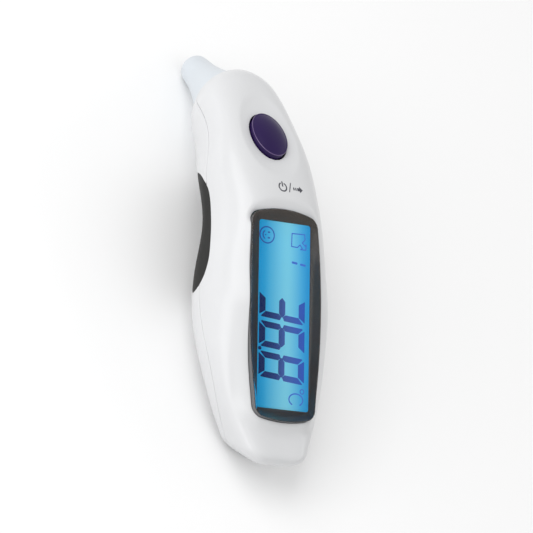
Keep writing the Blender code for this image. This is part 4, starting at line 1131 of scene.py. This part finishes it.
def make_probe():
    """The tapered probe: rolled tip, flared sides, collar, and the bore behind its mouth."""
    lip = [(MOUTH_RADIUS, MOUTH_DEPTH), (MOUTH_RADIUS, MOUTH_ROUND)]
    for turn in np.linspace(0, math.pi / 2, MOUTH_POINTS):
        radius = MOUTH_RADIUS + MOUTH_ROUND * (1 - math.cos(turn))
        lip.append((radius, MOUTH_ROUND - MOUTH_ROUND * math.sin(turn)))
    for turn in np.linspace(LIP_START, math.pi / 2, LIP_POINTS):
        lip.append((LIP_MIDDLE + LIP_HALF[0] * math.sin(turn), LIP_HALF[1] * (1 - math.cos(turn))))
    known = np.array([PROBE_BROW, *PROBE_OUTLINE])
    fit = np.polyfit(known[:, 0], known[:, 1], PROBE_SIDES_POWER)
    along = np.linspace(PROBE_SIDES_START, PROBE_OUTLINE[-1][0], PROBE_SIDES_POINTS)
    sides = [(float(np.polyval(fit, d)), float(d)) for d in along]
    rest = [(COLLAR_RADIUS, COLLAR_START), (COLLAR_RADIUS, FLANGE_START)]
    rest += [(FLANGE_RADIUS, FLANGE_START), (FLANGE_RADIUS, FLANGE_END)]
    profile = [*lip, *sides, *rest, *PROBE_BORE, lip[0]]
    vertices, faces = turned(profile[::-1], PROBE)
    add_piece("probe_cone_fine", vertices, faces, PROBE_WHITE, "housing", ("probe_cone",))


# ---------------- pieces that keep their CAD mesh


def finish_inner_nodes():
    """A procedural material for every CAD node, by its slot in the record, and the sensor's dark filter."""
    finishes = {
        "white_shell": WHITE,
        "white_probe": PROBE_WHITE,
        "dark_grip": GRIP_DARK,
        "clear_lens": ACRYLIC,
        "black_print": BORDER_BLACK,
        "lcd_glass": LCD_BLUE_PAINTED_REFLECTION,
        "purple_button": PURPLE,
    }
    for name, finish in INNER_FINISHES.items():
        finishes[name] = mottled(name, *finish)
    for part in frame["record"]["subparts"]:
        node = frame["nodes"][part["node"]]
        for place in node.material_slots:
            place.material = finishes[part["material_slot"]]
    frame["nodes"]["probe_window"].material_slots[0].material = finishes["sensor_filter"]


# ---------------- stage


def add_light(name, place, aim, size, power):
    light = bpy.data.lights.new(name, "AREA")
    light.shape = "RECTANGLE"
    light.size, light.size_y = size
    light.energy = power
    lamp = bpy.data.objects.new(name, light)
    bpy.context.scene.collection.objects.link(lamp)
    lamp.location = place
    lamp.rotation_euler = (Vector(aim) - Vector(place)).to_track_quat("-Z", "Y").to_euler()


def make_stage():
    """A pale floor, an even white surround and three soft lights."""
    material, _, _, shader = new_material("studio_floor")
    fill(shader, {"Roughness": FLOOR_ROUGHNESS, "Base Color": grey(FLOOR_ALBEDO)})
    mesh = bpy.data.meshes.new("studio_floor")
    far = FLOOR_HALF
    mesh.from_pydata([(-far, -far, 0), (far, -far, 0), (far, far, 0), (-far, far, 0)], [], [(0, 1, 2, 3)])
    mesh.materials.append(material)
    floor = bpy.data.objects.new("studio_floor", mesh)
    bpy.context.scene.collection.objects.link(floor)
    floor.location.z = -FLOOR_DROP

    world = bpy.data.worlds.new("studio")
    world.use_nodes = True
    fill(world.node_tree.nodes["Background"], {"Color": grey(1), "Strength": WORLD_STRENGTH})
    bpy.context.scene.world = world

    for light in LIGHTS:
        add_light(*light)
    bpy.context.scene.view_settings.view_transform = "Standard"


def make_camera():
    """A long lens at the photograph's viewing angle, set in the device's own frame."""
    turn, tip = CAMERA_TURN, CAMERA_TIP
    right = Vector((math.cos(turn), 0, math.sin(turn)))
    back = Vector((-math.sin(turn) * math.cos(tip), math.sin(tip), math.cos(turn) * math.cos(tip)))
    up = back.cross(right)
    place = right * CAMERA_RIGHT + up * CAMERA_UP + back * CAMERA_BACK
    data = bpy.data.cameras.new("camera")
    data.lens = CAMERA_LENS
    data.sensor_width = CAMERA_SENSOR
    camera = bpy.data.objects.new("camera", data)
    bpy.context.scene.collection.objects.link(camera)
    turning = Matrix((right, up, back)).transposed().to_4x4()
    camera.matrix_world = DEVICE @ Matrix.Translation(place * MM) @ turning
    bpy.context.scene.camera = camera


make_camera()
make_front_shell()
make_rear_shell()
make_cover()
make_grip()
make_lens()
make_border()
make_lens_side()
make_lcd()
make_reading()
make_icons()
make_signs()
make_button()
make_probe()
finish_inner_nodes()
make_stage()
